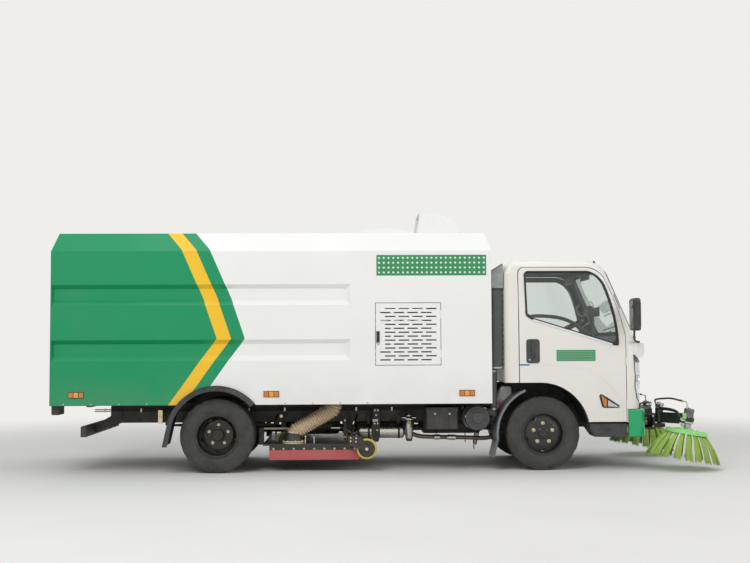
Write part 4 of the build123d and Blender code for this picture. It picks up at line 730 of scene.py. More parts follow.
for side, s in SIDES:
    piece = Piece()
    tyre(piece, front_axle_x, s * front_wheel_y)
    piece.done(f"front_tyre_ribbed_{side}", f"front_wheel_{side}", [f"front_tyre_{side}"])
    piece = Piece()
    for y in (outer_dual_y, inner_dual_y):
        tyre(piece, rear_axle_x, s * y)
    piece.done(f"rear_tyres_ribbed_{side}", f"rear_wheels_{side}", [f"rear_tyres_{side}"])

# Wheel fittings: five nuts on coned washers, centre cap or hub, and the valve
nut_circle = 0.103


def wheel_fittings(piece, x, face_y, s, hub):
    """What is bolted to a wheel disc, on the face at face_y, looking outward along s."""
    out = (0, s, 0)
    for turn in range(5):
        angle = radians(90 + 72 * turn)
        spot = (x + nut_circle * cos(angle), face_y, tyre_radius + nut_circle * sin(angle))
        piece.lathe([(0, 0), (0, 0.0205), (0.003, 0.0205), (0.007, 0.016), (0.007, 0)], spot, out,
                    gold_zinc, 24)
        piece.bolt((spot[0], spot[1] + s * 0.007, spot[2]), out, 0.026, gold_zinc, height=0.55)
        piece.lathe([(0, 0), (0, 0.0075), (0.0225, 0.0075), (0.024, 0.006), (0.024, 0)], spot, out,
                    zinc, 12)
    piece.lathe(hub, (x, face_y, tyre_radius), out, wheel_black, 48)
    valve = Vector((x + 0.15 * cos(radians(125)), face_y, tyre_radius + 0.15 * sin(radians(125))))
    piece.tube([valve, valve + Vector((0.004, s * 0.012, 0.01)),
                valve + Vector((0.012, s * 0.02, 0.032))], 0.0042, zinc, 10)


# Outer faces of the wheel discs, from the front wheel's middle and from the rear pair's disc plane
front_face = 0.064
rear_disc_y, rear_face = 0.714, 0.02
for side, s in SIDES:
    piece = Piece()
    cap = [(-0.004, 0.058), (0.004, 0.06), (0.008, 0.056), (0.01, 0.05), (0.024, 0.047), (0.0285, 0.041),
           (0.0295, 0.02), (0.0275, 0.017), (0.0275, 0)]
    wheel_fittings(piece, front_axle_x, s * (front_wheel_y + front_face), s, cap)
    piece.done(f"front_wheel_fittings_{side}", f"front_wheel_{side}")
    piece = Piece()
    hub = [(-0.003, 0.066), (0.006, 0.066), (0.008, 0.06), (0.07, 0.057), (0.0745, 0.053), (0.075, 0)]
    wheel_fittings(piece, rear_axle_x, s * (rear_disc_y + rear_face), s, hub)
    for turn in range(8):
        angle = radians(45 * turn + 10)
        piece.bolt((rear_axle_x + 0.041 * cos(angle), s * (rear_disc_y + 0.095),
                    tyre_radius + 0.041 * sin(angle)), (0, s, 0), 0.013, gear_black)
    piece.done(f"rear_wheel_fittings_{side}", f"rear_wheels_{side}")

# Brushes: a lime plate and twenty broad tufts, each a flat core of bristle with frayed strands round it
brush_tilt = radians(9)
spin = Vector((sin(brush_tilt), 0, cos(brush_tilt)))
across_spin = Vector((cos(brush_tilt), 0, -sin(brush_tilt)))
aside_spin = spin.cross(across_spin)
brush_y = 0.83
brush_root = Vector((nose_x + 0.493, brush_y, 0.366))
tuft_count = 20
strands_per_tuft = 46


def about_spin(root, angle, radius, along):
    """A point round the brush's spindle: an angle, a radius and a height above the plate's underside."""
    return root + (across_spin * cos(angle) + aside_spin * sin(angle)) * radius + spin * along


def tuft_line(t):
    """Radius and height of a tuft's middle, from its root at nought to its tip at one."""
    return 0.187 + 0.183 * (t + 0.1 * sin(pi * t)), 0.012 - 0.282 * t


def brush(side, s):
    """One front brush."""
    rng = random.Random(41)
    piece = Piece()
    root = Vector((brush_root.x, s * brush_root.y, brush_root.z))
    plate = [(0.0, 0), (0.0, 0.2245), (0.004, 0.2245), (0.01, 0.2215), (0.036, 0.2065), (0.04, 0.2035),
             (0.04, 0.13), (0.046, 0.122), (0.046, 0.075), (0.051, 0.07), (0.051, 0)]
    piece.lathe(plate, root, spin, plate_green, 80)
    for angle in around(8):
        piece.bolt(about_spin(root, angle, 0.1, 0.046), spin, 0.017, zinc, 0.013)
    for tuft in range(tuft_count):
        base = 2 * pi * (tuft + 0.5) / tuft_count
        lean = rng.uniform(-0.06, 0.06)
        collar = [about_spin(root, base + side_step, 0.19 + deep, 0.004)
                  for side_step, deep in ((-0.085, -0.014), (0.085, -0.014), (0.085, 0.016),
                                          (-0.085, 0.016))]
        skirt = [point - spin * 0.016 for point in collar]
        piece.rings([collar, skirt], plate_green)
        core = []
        for step in range(9):
            t = step / 8
            radius, along = tuft_line(t * 0.93)
            wide = (0.013 + 0.024 * t ** 0.8) / radius
            thick = 0.007 + 0.004 * t
            angle = base + lean * t * t
            core.append([about_spin(root, angle + wide * cos(a), radius + thick * sin(a), along)
                         for a in around(14)])
        piece.rings(core, bristle_green)
        for strand in range(strands_per_tuft):
            turn = rng.uniform(0, 2 * pi)
            reach = rng.uniform(0.9, 1.0)
            fray = rng.uniform(0.92, 1.14)
            thin = rng.uniform(0.0019, 0.0029)
            path = []
            for step in range(7):
                t = step / 6 * reach
                radius, along = tuft_line(t)
                wide = (0.0125 + 0.025 * t ** 0.8) / radius * fray
                thick = (0.0075 + 0.0055 * t) * fray
                angle = base + lean * t * t + wide * cos(turn)
                path.append(about_spin(root, angle, radius + thick * sin(turn), along))
            piece.tube(path, [thin, thin, thin, thin, thin, thin * 0.9, thin * 0.5], bristle_green, 4)
    piece.done(f"bristle_brush_{side}", f"brush_{side}", [f"brush_{side}"], angle=45)


for side, s in SIDES:
    brush(side, s)


# Brush gear: motors, hoses with chrome elbows, brackets
def brush_gear(side, s):
    """What dresses one brush arm and its motor."""
    root = Vector((brush_root.x, s * brush_root.y, brush_root.z))
    piece = Piece()
    for profile, finish in (([(0.055, 0.034), (0.055, 0.0385), (0.1, 0.0385), (0.1, 0.034)], aluminium),
                            ([(0.1035, 0.045), (0.1035, 0.0525), (0.108, 0.0535), (0.122, 0.0535),
                              (0.1265, 0.051), (0.1265, 0.045)], aluminium),
                            ([(0.17, 0.045), (0.17, 0.0515), (0.176, 0.053), (0.186, 0.053),
                              (0.19, 0.0513), (0.238, 0.0513), (0.242, 0.053), (0.252, 0.053),
                              (0.2575, 0.05), (0.259, 0.04), (0.259, 0)], motor_grey),
                            ([(0.252, 0.016), (0.2655, 0.016), (0.267, 0.014), (0.267, 0)], gear_black)):
        piece.lathe(profile, root, spin, finish, 44)
    for angle in around(6, 0.3):
        piece.bolt(about_spin(root, angle, 0.04, 0.2588), spin, 0.01, zinc)
        piece.bolt(about_spin(root, angle, 0.056, 0.168), spin, 0.012, zinc, 0.009)
    for turn in (0.9, 2.2, 4.0, 5.3):
        piece.tube([about_spin(root, turn, 0.0525, 0.108), about_spin(root, turn, 0.0525, 0.126)],
                   0.0055, zinc, 8)
    # the clamp's ears and their bolts, behind the motor
    for height in (0.136, 0.157):
        ear = about_spin(root, pi, 0.058, height)
        piece.bolt(ear + Vector((-0.014, s * 0.03, 0)), (0, s, 0), 0.015, zinc, 0.012)
    piece.done(f"brush_motor_{side}", f"brush_arm_{side}")

    fittings = Piece()
    # lime brackets on the motor's two hose ports
    for (x_from, z_from), (x_to, z_to) in (((3.046, 0.58), (3.086, 0.524)),
                                           ((3.03, 0.478), (3.058, 0.418))):
        plate_y = s * (brush_y + 0.046)
        fittings.block((x_from, x_to), (plate_y, plate_y + s * 0.006), (z_to, z_from), plate_green)
        fittings.bolt(((x_from + x_to) / 2, plate_y + s * 0.006, (z_from + z_to) / 2), (0, s, 0), 0.012,
                      zinc, 0.01)
    for x_from, height, aside in ((3.036, 0.506, 0.052), (3.03, 0.462, 0.04)):
        port = Vector((3.09, s * (brush_y + aside * 0.6), height))
        bend = Vector((x_from, s * (brush_y + aside), height))
        fittings.tube(smooth_path([port, (port + bend) / 2, bend, bend + Vector((-0.01, 0, 0.022))], 5),
                      0.0085, chrome, 14)
        for spot, along in ((port + (bend - port) * 0.3, bend - port),
                            (bend + Vector((-0.006, 0, 0.01)), (-0.2, 0, 1))):
            fittings.disc(0.0125, 0.013, spot, along, chrome, 6)
    swivel = Vector((2.9, s * 0.52, 0.62))
    fittings.lathe([(0, 0), (0, 0.04), (0.008, 0.04), (0.01, 0.03), (0.028, 0.03), (0.032, 0.02),
                    (0.062, 0.02), (0.064, 0)], swivel, (0, 0, 1), zinc, 28)
    fittings.block((2.862, 2.946), (s * 0.496, s * 0.544), (0.632, 0.668), aluminium)
    # two hoses along the arm's outer side to the motor's elbows
    for index, (low, lift) in enumerate(((Vector((3.026, s * 0.882, 0.528)), 0.01),
                                         (Vector((3.02, s * 0.87, 0.484)), -0.004))):
        start = Vector((2.868 + 0.03 * index, s * 0.548, 0.65))
        fittings.disc(0.0135, 0.016, start - Vector((0, s * 0.006, 0)), (0, s, 0), chrome, 6)
        route = smooth_path([start, start + Vector((-0.012, s * 0.045, 0.004)),
                             Vector((2.88, s * 0.64, 0.618 + lift)),
                             Vector((2.945, s * 0.745, 0.61 + lift)),
                             Vector((3.0, s * 0.84, 0.585 + lift)), low], 9)
        fittings.tube(route, 0.0095, hose_rubber, 12)
    # the arched hose from the swivel to the motor's top
    top = about_spin(root, pi * 0.9, 0.02, 0.262)
    elbow = [top, top + Vector((0, 0, 0.045)), top + Vector((-0.012, -s * 0.006, 0.068)),
             top + Vector((-0.05, -s * 0.018, 0.076))]
    fittings.tube(smooth_path(elbow, 6), 0.009, chrome, 14)
    fittings.disc(0.014, 0.014, top + Vector((0, 0, 0.004)), (0, 0, 1), chrome, 6)
    fittings.disc(0.0135, 0.015, elbow[3] + Vector((0.012, 0, 0)), (-1, 0, 0.05), chrome, 6)
    outlet = Vector((2.866, s * 0.512, 0.672))
    fittings.disc(0.0125, 0.018, outlet, (-0.3, 0, 1), chrome, 6)
    arch = smooth_path([outlet, outlet + Vector((-0.006, s * 0.008, 0.03)), Vector((2.88, s * 0.59, 0.716)),
                        Vector((2.96, s * 0.73, 0.728)), Vector((3.03, s * 0.8, 0.712)), elbow[3]], 9)
    fittings.tube(arch, 0.0095, hose_rubber, 12)
    fittings.done(f"brush_hose_fittings_{side}", f"brush_arm_{side}")


for side, s in SIDES:
    brush_gear(side, s)

# Cross beam: hydraulic T fittings, feed hoses from under the bumper, caps on the valve ports, bolts
piece = Piece()
for side, s in SIDES:
    feed = Vector((2.8, s * 0.47, 0.565))
    piece.block((feed.x - 0.05, feed.x + 0.03), (s * 0.43, s * 0.5), (0.565, 0.612), gear_black)
    piece.disc(0.013, 0.05, feed + Vector((0.006, 0, 0.047)), (0, 0, 1), chrome, 6)
    piece.disc(0.01, 0.052, feed + Vector((-0.022, 0, 0.084)), (1, 0, 0.12), chrome, 14)
    loop = smooth_path([feed + Vector((-0.022, 0, 0.084)), (2.735, s * 0.468, 0.668),
                        (2.7, s * 0.462, 0.64), (2.696, s * 0.455, 0.56)], 8)
    piece.tube(loop, 0.0095, hose_rubber, 12)
    for height, finish in ((0.513, skirt_red), (0.481, plate_green), (0.455, skirt_red)):
        piece.lathe([(0, 0), (0, 0.0125), (0.01, 0.0125), (0.014, 0.009), (0.02, 0.009), (0.02, 0)],
                    (2.745, s * 0.56, height), (0, s, 0), finish, 20)
    for height in (0.425, 0.535):
        for x in (2.695, 2.824):
            piece.bolt((x, s * 0.56, height), (0, s, 0), 0.014, zinc, 0.011)
    piece.lathe([(0, 0), (0, 0.024), (0.006, 0.024), (0.006, 0.015), (0.022, 0.013), (0.022, 0)],
                (2.9, s * 0.52, 0.414), (0, 0, -1), zinc, 24)
piece.done("cross_beam_fittings", "chassis")

# Front bumper: a blank plate in its holder
plate_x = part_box("front_bumper")[1].x
piece = Piece()
piece.block((plate_x - 0.002, plate_x + 0.004), (-0.235, 0.235), (0.44, 0.59), dark_plastic)
piece.block((plate_x + 0.003, plate_x + 0.005), (-0.22, 0.22), (0.447, 0.583), dot_white)
for y in (-0.175, 0.175):
    piece.bolt((plate_x + 0.005, y, 0.57), (1, 0, 0), 0.01, zinc)
piece.done("front_plate_blank", "chassis", bevel=0.0015)

# Suction ducts: ribbed, with a clamp ring at the nozzle's collar
duct_x, duct_y = -0.985, 0.7
hose_points = [(duct_x, 0.34), (duct_x, 0.4), (-0.56, 0.64), (-0.56, 0.697)]


def rounded_line(points, radius, step):
    """Straight runs joined by round bends in X and Z, with points a step apart."""
    line = [Vector(points[0])]
    for before, corner, after in zip(points, points[1:], points[2:]):
        before, corner, after = Vector(before), Vector(corner), Vector(after)
        into, away = (corner - before).normalized(), (after - corner).normalized()
        turn = into.angle(away)
        cut = radius * (sin(turn / 2) / cos(turn / 2))
        for k in range(9):
            t = k / 8
            start, end = corner - into * cut, corner + away * cut
            line.append((1 - t) ** 2 * start + 2 * t * (1 - t) * corner + t * t * end)
    line.append(Vector(points[-1]))
    even = [line[0]]
    for target in line[1:]:
        while (target - even[-1]).length > step:
            even.append(even[-1] + (target - even[-1]).normalized() * step)
    return even + [line[-1]]


for side, s in SIDES:
    piece = Piece()
    centres = [Vector((p.x, s * duct_y, p.y)) for p in rounded_line(hose_points, 0.095, 0.0052)]
    piece.tube(centres, 0.0765, duct_tan, 36)
    # pale rings on the ribs' crests: a painted highlight
    for k in range(16, len(centres) - 6, 5):
        piece.tube(centres[k:k + 3], [0.0775, 0.087, 0.0775], duct_rib_painted_highlight, 36)
    # the black cone below the duct and the clamp that holds it
    piece.lathe([(0, 0), (0, 0.104), (0.07, 0.086), (0.078, 0.086), (0.078, 0)],
                (duct_x, s * duct_y, 0.314), (0, 0, 1), gear_black, 44)
    piece.disc(0.0885, 0.016, (duct_x, s * duct_y, 0.392), (0.12, 0, 1), zinc, 44)
    piece.block((-1.0, -0.97), (s * 0.784, s * 0.8), (0.392, 0.408), zinc)
    piece.tube([(-1.01, s * 0.794, 0.4), (-0.958, s * 0.794, 0.4)], 0.004, zinc, 8)
    piece.done(f"ribbed_duct_{side}", "chassis", ["suction_hoses"], angle=60)

# Nozzle dressing: cream flanges with a dark joint, red skirt strips, a cream bar, posts, bolts
piece = Piece()
for side, s in SIDES:
    for height, finish in ((0.2855, cream_paint), (0.2965, seal_rubber), (0.3005, cream_paint)):
        thick = 0.004 if finish is seal_rubber else 0.011
        piece.disc(0.118, thick, (duct_x, s * duct_y, height), (0, 0, 1), finish, 44)
    for angle in around(8, 0.2):
        piece.bolt((duct_x + 0.107 * cos(angle), s * duct_y + 0.107 * sin(angle), 0.3115), (0, 0, 1),
                   0.012, gold_zinc, 0.009)
    piece.block((-1.232, -0.303), (s * 0.8005, s * 0.8045), (0.122, 0.238), skirt_red)
    piece.block((-1.232, -0.303), (s * 0.8005, s * 0.8065), (0.222, 0.246), gear_black)
    for k in range(9):
        piece.bolt((-1.19 + k * 0.105, s * 0.8065, 0.234), (0, s, 0), 0.013, zinc, 0.011)
    for x, low, high in ((-0.861, 0.285, 0.361), (-0.771, 0.285, 0.35)):
        piece.tube([(x, s * 0.77, low), (x, s * 0.77, high)], 0.008, zinc, 12)
        piece.bolt((x, s * 0.77, high - 0.004), (0, 0, 1), 0.018, gold_zinc, 0.014)
    piece.block((-1.353, -1.3), (s * 0.56, s * 0.6), (0.262, 0.44), gear_black)
    piece.block((-1.353, -1.039), (s * 0.56, s * 0.596), (0.42, 0.439), cream_paint)
    for x in (-1.25, -0.4):
        piece.tube([(x, s * 0.64, 0.285), (x + 0.05, s * 0.56, 0.47), (x + 0.08, s * 0.38, 0.56)], 0.01,
                   gear_black, 12)
piece.done("nozzle_skirts_and_flanges", "chassis", bevel=0.001)

# Nozzle wheels: yellow tyres on black centres with a bearing cap
for position in ("front", "rear"):
    for side, s in SIDES:
        low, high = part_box(f"nozzle_wheel_{position}_{side}")
        centre = (low + high) / 2
        half = 0.028
        tread = (high.z - low.z) / 2
        piece = Piece()
        crown = [(-half, 0.087), (-half, tread - 0.01), (-half + 0.004, tread - 0.003),
                 (-half + 0.012, tread), (half - 0.012, tread), (half - 0.004, tread - 0.003),
                 (half, tread - 0.01), (half, 0.087)]
        rings = [[Vector((centre.x + r * cos(a), centre.y + w, centre.z + r * sin(a))) for w, r in crown]
                 for a in around(64)]
        piece.rings(rings, wheel_yellow, closed=True)
        for hand in (-1, 1):
            piece.lathe([(0.026, 0.0), (0.026, 0.0875), (0.02, 0.0875), (0.014, 0.074), (0.014, 0.036),
                         (0.03, 0.032), (0.037, 0.024), (0.037, 0)], centre, (0, hand, 0), gear_black, 44)
        piece.lathe([(0.03, 0), (0.03, 0.019), (0.0385, 0.016), (0.0397, 0)], centre, (0, s, 0),
                    gold_zinc, 28)
        for angle in around(3, 0.9):
            spot = centre + Vector((cos(angle) * 0.056, s * 0.015, sin(angle) * 0.056))
            piece.block((spot.x - 0.004, spot.x + 0.004), (spot.y - 0.001, spot.y + 0.001),
                        (spot.z - 0.014, spot.z + 0.014), zinc,
                        turn=Matrix.Rotation(pi / 2 - angle, 3, "Y"))
        piece.done(f"nozzle_wheel_dressed_{position}_{side}", f"nozzle_wheel_{position}_{side}",
                   [f"nozzle_wheel_{position}_{side}"])

# Outer brackets of the front nozzle wheels
bracket_face = 0.9105
piece = Piece()
for side, s in SIDES:
    low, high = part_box(f"nozzle_wheel_front_{side}")
    wheel = (low + high) / 2
    arm_line = [(wheel.x - 0.19, wheel.z + 0.04), (wheel.x - 0.19, wheel.z + 0.14),
                (wheel.x - 0.06, wheel.z + 0.13), (wheel.x + 0.022, wheel.z + 0.02),
                (wheel.x + 0.022, wheel.z - 0.018), (wheel.x - 0.022, wheel.z - 0.022)]
    piece.prism(arm_line, s * 0.9025, s * bracket_face, gear_black)
    piece.block((wheel.x - 0.19, wheel.x - 0.15), (s * 0.64, s * 0.903),
                (wheel.z + 0.06, wheel.z + 0.11), gear_black)
    piece.bolt((wheel.x, s * bracket_face, wheel.z), (0, s, 0), 0.022, gold_zinc, 0.016)
    for x, z in ((-0.165, 0.115), (-0.165, 0.08), (-0.11, 0.11), (-0.11, 0.075)):
        piece.bolt((wheel.x + x, s * bracket_face, wheel.z + z), (0, s, 0), 0.011, gold_zinc, 0.008)
piece.done("nozzle_wheel_brackets", "chassis", bevel=0.001)

# Air reservoirs below the rails
piece = Piece()
for side, s in SIDES:
    for start, length in ((-1.06, 0.56), (-0.34, 0.64), (0.37, 0.66)):
        piece.lathe([(0, 0), (0.004, 0.05), (0.02, 0.078), (0.04, 0.088), (length - 0.04, 0.088),
                     (length - 0.02, 0.078), (length - 0.004, 0.05), (length, 0)],
                    (start, s * 0.235, 0.432), (1, 0, 0), chassis_black, 40)
        for x in (start + 0.15, start + length - 0.15):
            piece.disc(0.0895, 0.03, (x, s * 0.235, 0.432), (1, 0, 0), gear_black, 40)
            piece.block((x, x + 0.03), (s * 0.229, s * 0.36), (0.516, 0.524), gear_black)
piece.done("air_reservoirs", "chassis")

# Exhaust: silencer behind the filter, its pipe forward to the engine, the tail pipe, and hangers
piece = Piece()
silencer_y, silencer_z = -0.425, 0.386
piece.lathe([(0, 0), (0, 0.03), (0.004, 0.05), (0.018, 0.071), (0.022, 0.0765), (0.03, 0.0765),
             (0.032, 0.075), (0.47, 0.075), (0.472, 0.0765), (0.48, 0.0765), (0.486, 0.071),
             (0.5, 0.05), (0.504, 0.03), (0.504, 0)], (-0.318, silencer_y, silencer_z), (1, 0, 0),
            silencer_steel, 56)
run = smooth_path([(0.175, silencer_y, 0.366), (0.25, silencer_y, 0.358), (0.33, silencer_y, 0.332),
                   (0.42, silencer_y, 0.322), (0.8, silencer_y, 0.312), (1.04, silencer_y, 0.304),
                   (1.13, -0.4, 0.33), (1.2, -0.3, 0.42)], 7)
piece.tube(run, 0.0225, pipe_steel, 20)
for start, length in ((0.5, 0.06), (0.64, 0.09)):
    piece.disc(0.0285, length, (start, silencer_y, 0.321 - 0.026 * (start - 0.42)),
                (1, 0, -0.026), silencer_steel, 28)
tail = smooth_path([(-0.31, silencer_y, silencer_z), (-0.37, silencer_y, 0.36), (-0.47, -0.42, 0.42),
                    (-0.56, -0.3, 0.44), (-0.6, -0.1, 0.44), (-0.64, -0.06, 0.42)], 7)
piece.tube(tail, 0.0225, pipe_steel, 20)
for x in (-0.21, 0.11):
    piece.disc(0.0785, 0.022, (x, silencer_y, silencer_z), (1, 0, 0), gear_black, 56)
    piece.block((x, x + 0.022), (silencer_y + 0.01, silencer_y + 0.022), (silencer_z + 0.04, 0.56),
                gear_black)
piece.tube([(-0.599, -0.4, 0.419), (-0.483, -0.4, 0.419)], 0.022, silencer_steel, 28)
piece.done("exhaust_and_silencer", "chassis")

# Hanger plates below the rail, a white tag and gold bolts, the thin linkage rods
piece = Piece()
narrow_hanger = [(-0.463, 0.529), (-0.47, 0.42), (-0.462, 0.298), (-0.438, 0.298), (-0.43, 0.42),
                 (-0.439, 0.529)]
wide_hanger = [(-0.15, 0.633), (-0.155, 0.5), (-0.172, 0.4), (-0.16, 0.3), (-0.13, 0.274),
               (-0.095, 0.28), (-0.08, 0.34), (-0.085, 0.633)]
for outline in (narrow_hanger, wide_hanger):
    piece.prism(outline, -0.512, -0.504, gear_black)
for x in (-0.45, -0.12):
    piece.block((x - 0.015, x + 0.015), (-0.506, -0.425), (0.47, 0.5), gear_black)
piece.block((-0.157, -0.101), (-0.5138, -0.5122), (0.489, 0.517), dot_white)
for x, z in ((-0.138, 0.47), (-0.105, 0.47), (-0.132, 0.61), (-0.102, 0.61), (-0.12, 0.56), (-0.451, 0.505),
             (-0.451, 0.33), (-0.11, 0.4)):
    piece.bolt((x, -0.512, z), (0, -1, 0), 0.013, gold_zinc, 0.009)
for side, s in SIDES:
    piece.tube([(0.923, s * 0.44, 0.321), (0.923, s * 0.44, 0.191)], 0.006, chassis_black, 10)
    piece.tube([(0.923, s * 0.44, 0.321), (0.96, s * 0.41, 0.43), (0.98, s * 0.38, 0.56)], 0.006,
               chassis_black, 10)
    for x, z in ((rear_axle_x + 0.634, 0.552), (rear_axle_x - 0.643, 0.552), (front_axle_x + 0.5, 0.52),
                 (front_axle_x - 0.56, 0.54)):
        piece.bolt((x, s * 0.475, z), (0, s, 0), 0.024, gold_zinc, 0.017)
    piece.block((rear_axle_x - 0.666, rear_axle_x - 0.62), (s * 0.47, s * 0.48), (0.481, 0.623), gold_zinc)
    # air brake pipes clipped along the rail
    for height in (0.612, 0.63):
        piece.tube([(-3.1, s * 0.4335, height), (1.0, s * 0.4335, height)], 0.005, hose_rubber, 8)
    for k in range(11):
        x = -3.0 + 0.38 * k
        piece.block((x, x + 0.018), (s * 0.43, s * 0.441), (0.602, 0.64), zinc)
piece.done("rail_fittings", "chassis", bevel=0.001)

# Fluid tanks: fuel tank with straps and cap, silver filter, milky coolant bottle
fuel_rear_x, fuel_front_x = -0.25, 0.6
filter_x = body_front_x - 0.83
piece = Piece()


def tank_section(x, grow):
    """Rounded section of the fuel tank at a place along X."""
    section = rounded(0.48 - grow, 0.9 + grow, 0.405 - grow, 0.665 + grow, 0.06 + grow, 7)
    return [Vector((x, y, z)) for y, z in section]


piece.rings([tank_section(fuel_rear_x, -0.02), tank_section(fuel_rear_x, -0.004),
             tank_section(fuel_rear_x + 0.004, 0), tank_section(fuel_front_x - 0.004, 0),
             tank_section(fuel_front_x, -0.004), tank_section(fuel_front_x, -0.02)], wheel_black)
for strap_x in (fuel_rear_x + 0.15, fuel_rear_x + 0.63):
    strap = ((strap_x, 0), (strap_x, 0.004), (strap_x + 0.06, 0.004), (strap_x + 0.06, 0))
    piece.rings([tank_section(x, grow) for x, grow in strap], zinc)
    piece.block((strap_x, strap_x + 0.06), (0.42, 0.5), (0.52, 0.58), gear_black)
piece.lathe([(-0.02, 0), (-0.02, 0.04), (0.018, 0.04), (0.018, 0.052), (0.036, 0.052), (0.04, 0.046),
             (0.04, 0)], (fuel_front_x - 0.12, 0.86, 0.61), (0, 0.75, 0.65), black_plastic, 32)
piece.done("fuel_tank_dressed", "chassis", ["fluid_tanks"])

piece = Piece()
spot = (filter_x, -0.565, 0.28)
piece.lathe([(0.008, 0), (0.008, 0.026), (0.02, 0.034), (0.036, 0.036), (0.036, 0)], spot, (0, 0, 1),
            black_plastic, 32)
piece.lathe([(0.034, 0), (0.034, 0.034), (0.05, 0.04), (0.19, 0.042), (0.202, 0.039), (0.202, 0)], spot,
            (0, 0, 1), zinc, 40)
piece.lathe([(0.2, 0), (0.2, 0.04), (0.232, 0.04), (0.232, 0)], spot, (0, 0, 1), black_plastic, 32)
piece.lathe([(0.231, 0), (0.231, 0.056), (0.236, 0.059), (0.246, 0.059), (0.252, 0.054), (0.28, 0.05),
             (0.281, 0.04), (0.281, 0)], spot, (0, 0, 1), chrome, 40)
piece.tube([(filter_x - 0.075, -0.6, 0.536), (filter_x + 0.07, -0.6, 0.536)], 0.009, chrome, 12)
piece.block((filter_x - 0.022, filter_x + 0.018), (-0.6175, -0.6135), (0.472, 0.502), wheel_yellow)
piece.block((filter_x - 0.03, filter_x + 0.03), (-0.53, -0.425), (0.515, 0.56), chassis_black)
for y in (-0.59, -0.54):
    piece.bolt((filter_x, y, 0.56), (0, 0, 1), 0.016, zinc)
outline = [(-0.392, 0.862), (-0.301, 0.856), (-0.29, 0.842), (-0.291, 0.706), (-0.3, 0.694),
           (-0.366, 0.611), (-0.38, 0.607), (-0.474, 0.625), (-0.484, 0.637), (-0.419, 0.796),
           (-0.416, 0.808), (-0.392, 0.85)]
outline = [(front_axle_x + x, z) for x, z in outline]
middle = (front_axle_x - 0.36, 0.73)
shrunk = [(x + (middle[0] - x) * 0.05, z + (middle[1] - z) * 0.05) for x, z in outline]
sections = [(shrunk, -0.6), (outline, -0.594), (outline, -0.54), (shrunk, -0.5385), (shrunk, -0.5345),
            (outline, -0.533), (outline, -0.476), (shrunk, -0.47)]
piece.rings([[(x, y, z) for x, z in side_line] for side_line, y in sections], bottle)
piece.lathe([(0, 0), (0, 0.022), (0.012, 0.022), (0.012, 0.027), (0.03, 0.027), (0.033, 0.024), (0.033, 0)],
            (front_axle_x - 0.345, -0.535, 0.856), (0, 0, 1), black_plastic, 28)
piece.block((front_axle_x - 0.44, front_axle_x - 0.39), (-0.472, -0.425), (0.63, 0.652), chassis_black)
for x, z in ((-0.3, 0.73), (-0.44, 0.65), (-0.395, 0.835)):
    piece.bolt((front_axle_x + x, -0.5985, z), (0, -1, 0), 0.014, gold_zinc, 0.011)
piece.tube(smooth_path([(front_axle_x - 0.47, -0.535, 0.64), (front_axle_x - 0.52, -0.52, 0.7),
                        (front_axle_x - 0.5, -0.48, 0.86), (front_axle_x - 0.42, -0.4, 0.92)], 7), 0.009,
           hose_rubber, 12)
piece.done("filter_and_bottle", "chassis", ["fluid_tanks"], bevel=0.001)

# Battery box: lid, ribs, and two straps with a bolt each
piece = Piece()
battery_x = body_front_x - 0.667
piece.block((battery_x - 0.003, battery_x + 0.322), (-0.903, -0.557), (0.612, 0.655), black_plastic)
for k in range(6):
    x = battery_x + 0.035 + 0.05 * k
    piece.block((x, x + 0.012), (-0.9035, -0.8995), (0.452, 0.6), chassis_black)
for x in (battery_x + 0.075, battery_x + 0.225):
    piece.block((x, x + 0.022), (-0.9055, -0.9005), (0.445, 0.655), chassis_black)
    piece.block((x, x + 0.022), (-0.905, -0.555), (0.654, 0.658), chassis_black)
    piece.bolt((x + 0.011, -0.9055, 0.59), (0, -1, 0), 0.014, zinc, 0.011)
piece.done("battery_box_lid", "chassis", bevel=0.003)

# Air intake: light cap with clamps on the stack, ringed drum with radial ribs on the cleaner
piece = Piece()
stack_x, stack_y = cab_rear_x - 0.066, -0.79
cap = [(stack_x - 0.056, 1.884), (stack_x - 0.062, 2.06), (stack_x + 0.06, 2.136), (stack_x + 0.06, 1.884)]
piece.prism(cap, stack_y - 0.093, stack_y + 0.093, intake_grey)
for k in range(7):
    share = (k + 0.5) / 7
    x0, z0 = stack_x - 0.062 + 0.122 * share, 2.06 + 0.076 * share
    piece.block((x0 - 0.004, x0 + 0.004), (stack_y - 0.08, stack_y + 0.08), (z0 + 0.001, z0 + 0.007),
                black_plastic)
clamp = [(stack_x + a * 0.0605, stack_y + b * 0.0835)
         for a, b in ((1, -0.75), (1, 0.75), (0.65, 1), (-0.65, 1), (-1, 0.75), (-1, -0.75),
                      (-0.65, -1), (0.65, -1))]
for height, finish in ((1.872, dark_plastic), (1.06, zinc)):
    piece.rings([[Vector((x, y, z)) for x, y in clamp] for z in (height - 0.008, height + 0.008)], finish)
drum_x, drum_z = body_front_x - 0.142, 0.544
for start, radius, finish in ((0.0, 0.1312, dark_plastic), (0.118, 0.1325, zinc), (0.24, 0.1325, zinc),
                              (0.352, 0.1312, dark_plastic)):
    piece.lathe([(0, 0.12), (0, radius), (0.022, radius), (0.022, 0.12)],
                (drum_x, -0.9 + start, drum_z), (0, 1, 0), finish, 60)
piece.lathe([(0, 0), (0, 0.126), (-0.006, 0.122), (-0.008, 0.1), (-0.003, 0.094), (-0.003, 0.06),
             (-0.009, 0.054), (-0.009, 0)], (drum_x, -0.9, drum_z), (0, 1, 0), dark_plastic, 60)
for angle in around(12):
    ray = Vector((cos(angle), 0, sin(angle)))
    centre = Vector((drum_x, -0.905, drum_z)) + ray * 0.077
    piece.block((centre.x - 0.02, centre.x + 0.02), (-0.909, -0.902),
                (centre.z - 0.003, centre.z + 0.003), dark_plastic, turn=Matrix.Rotation(-angle, 3, "Y"))
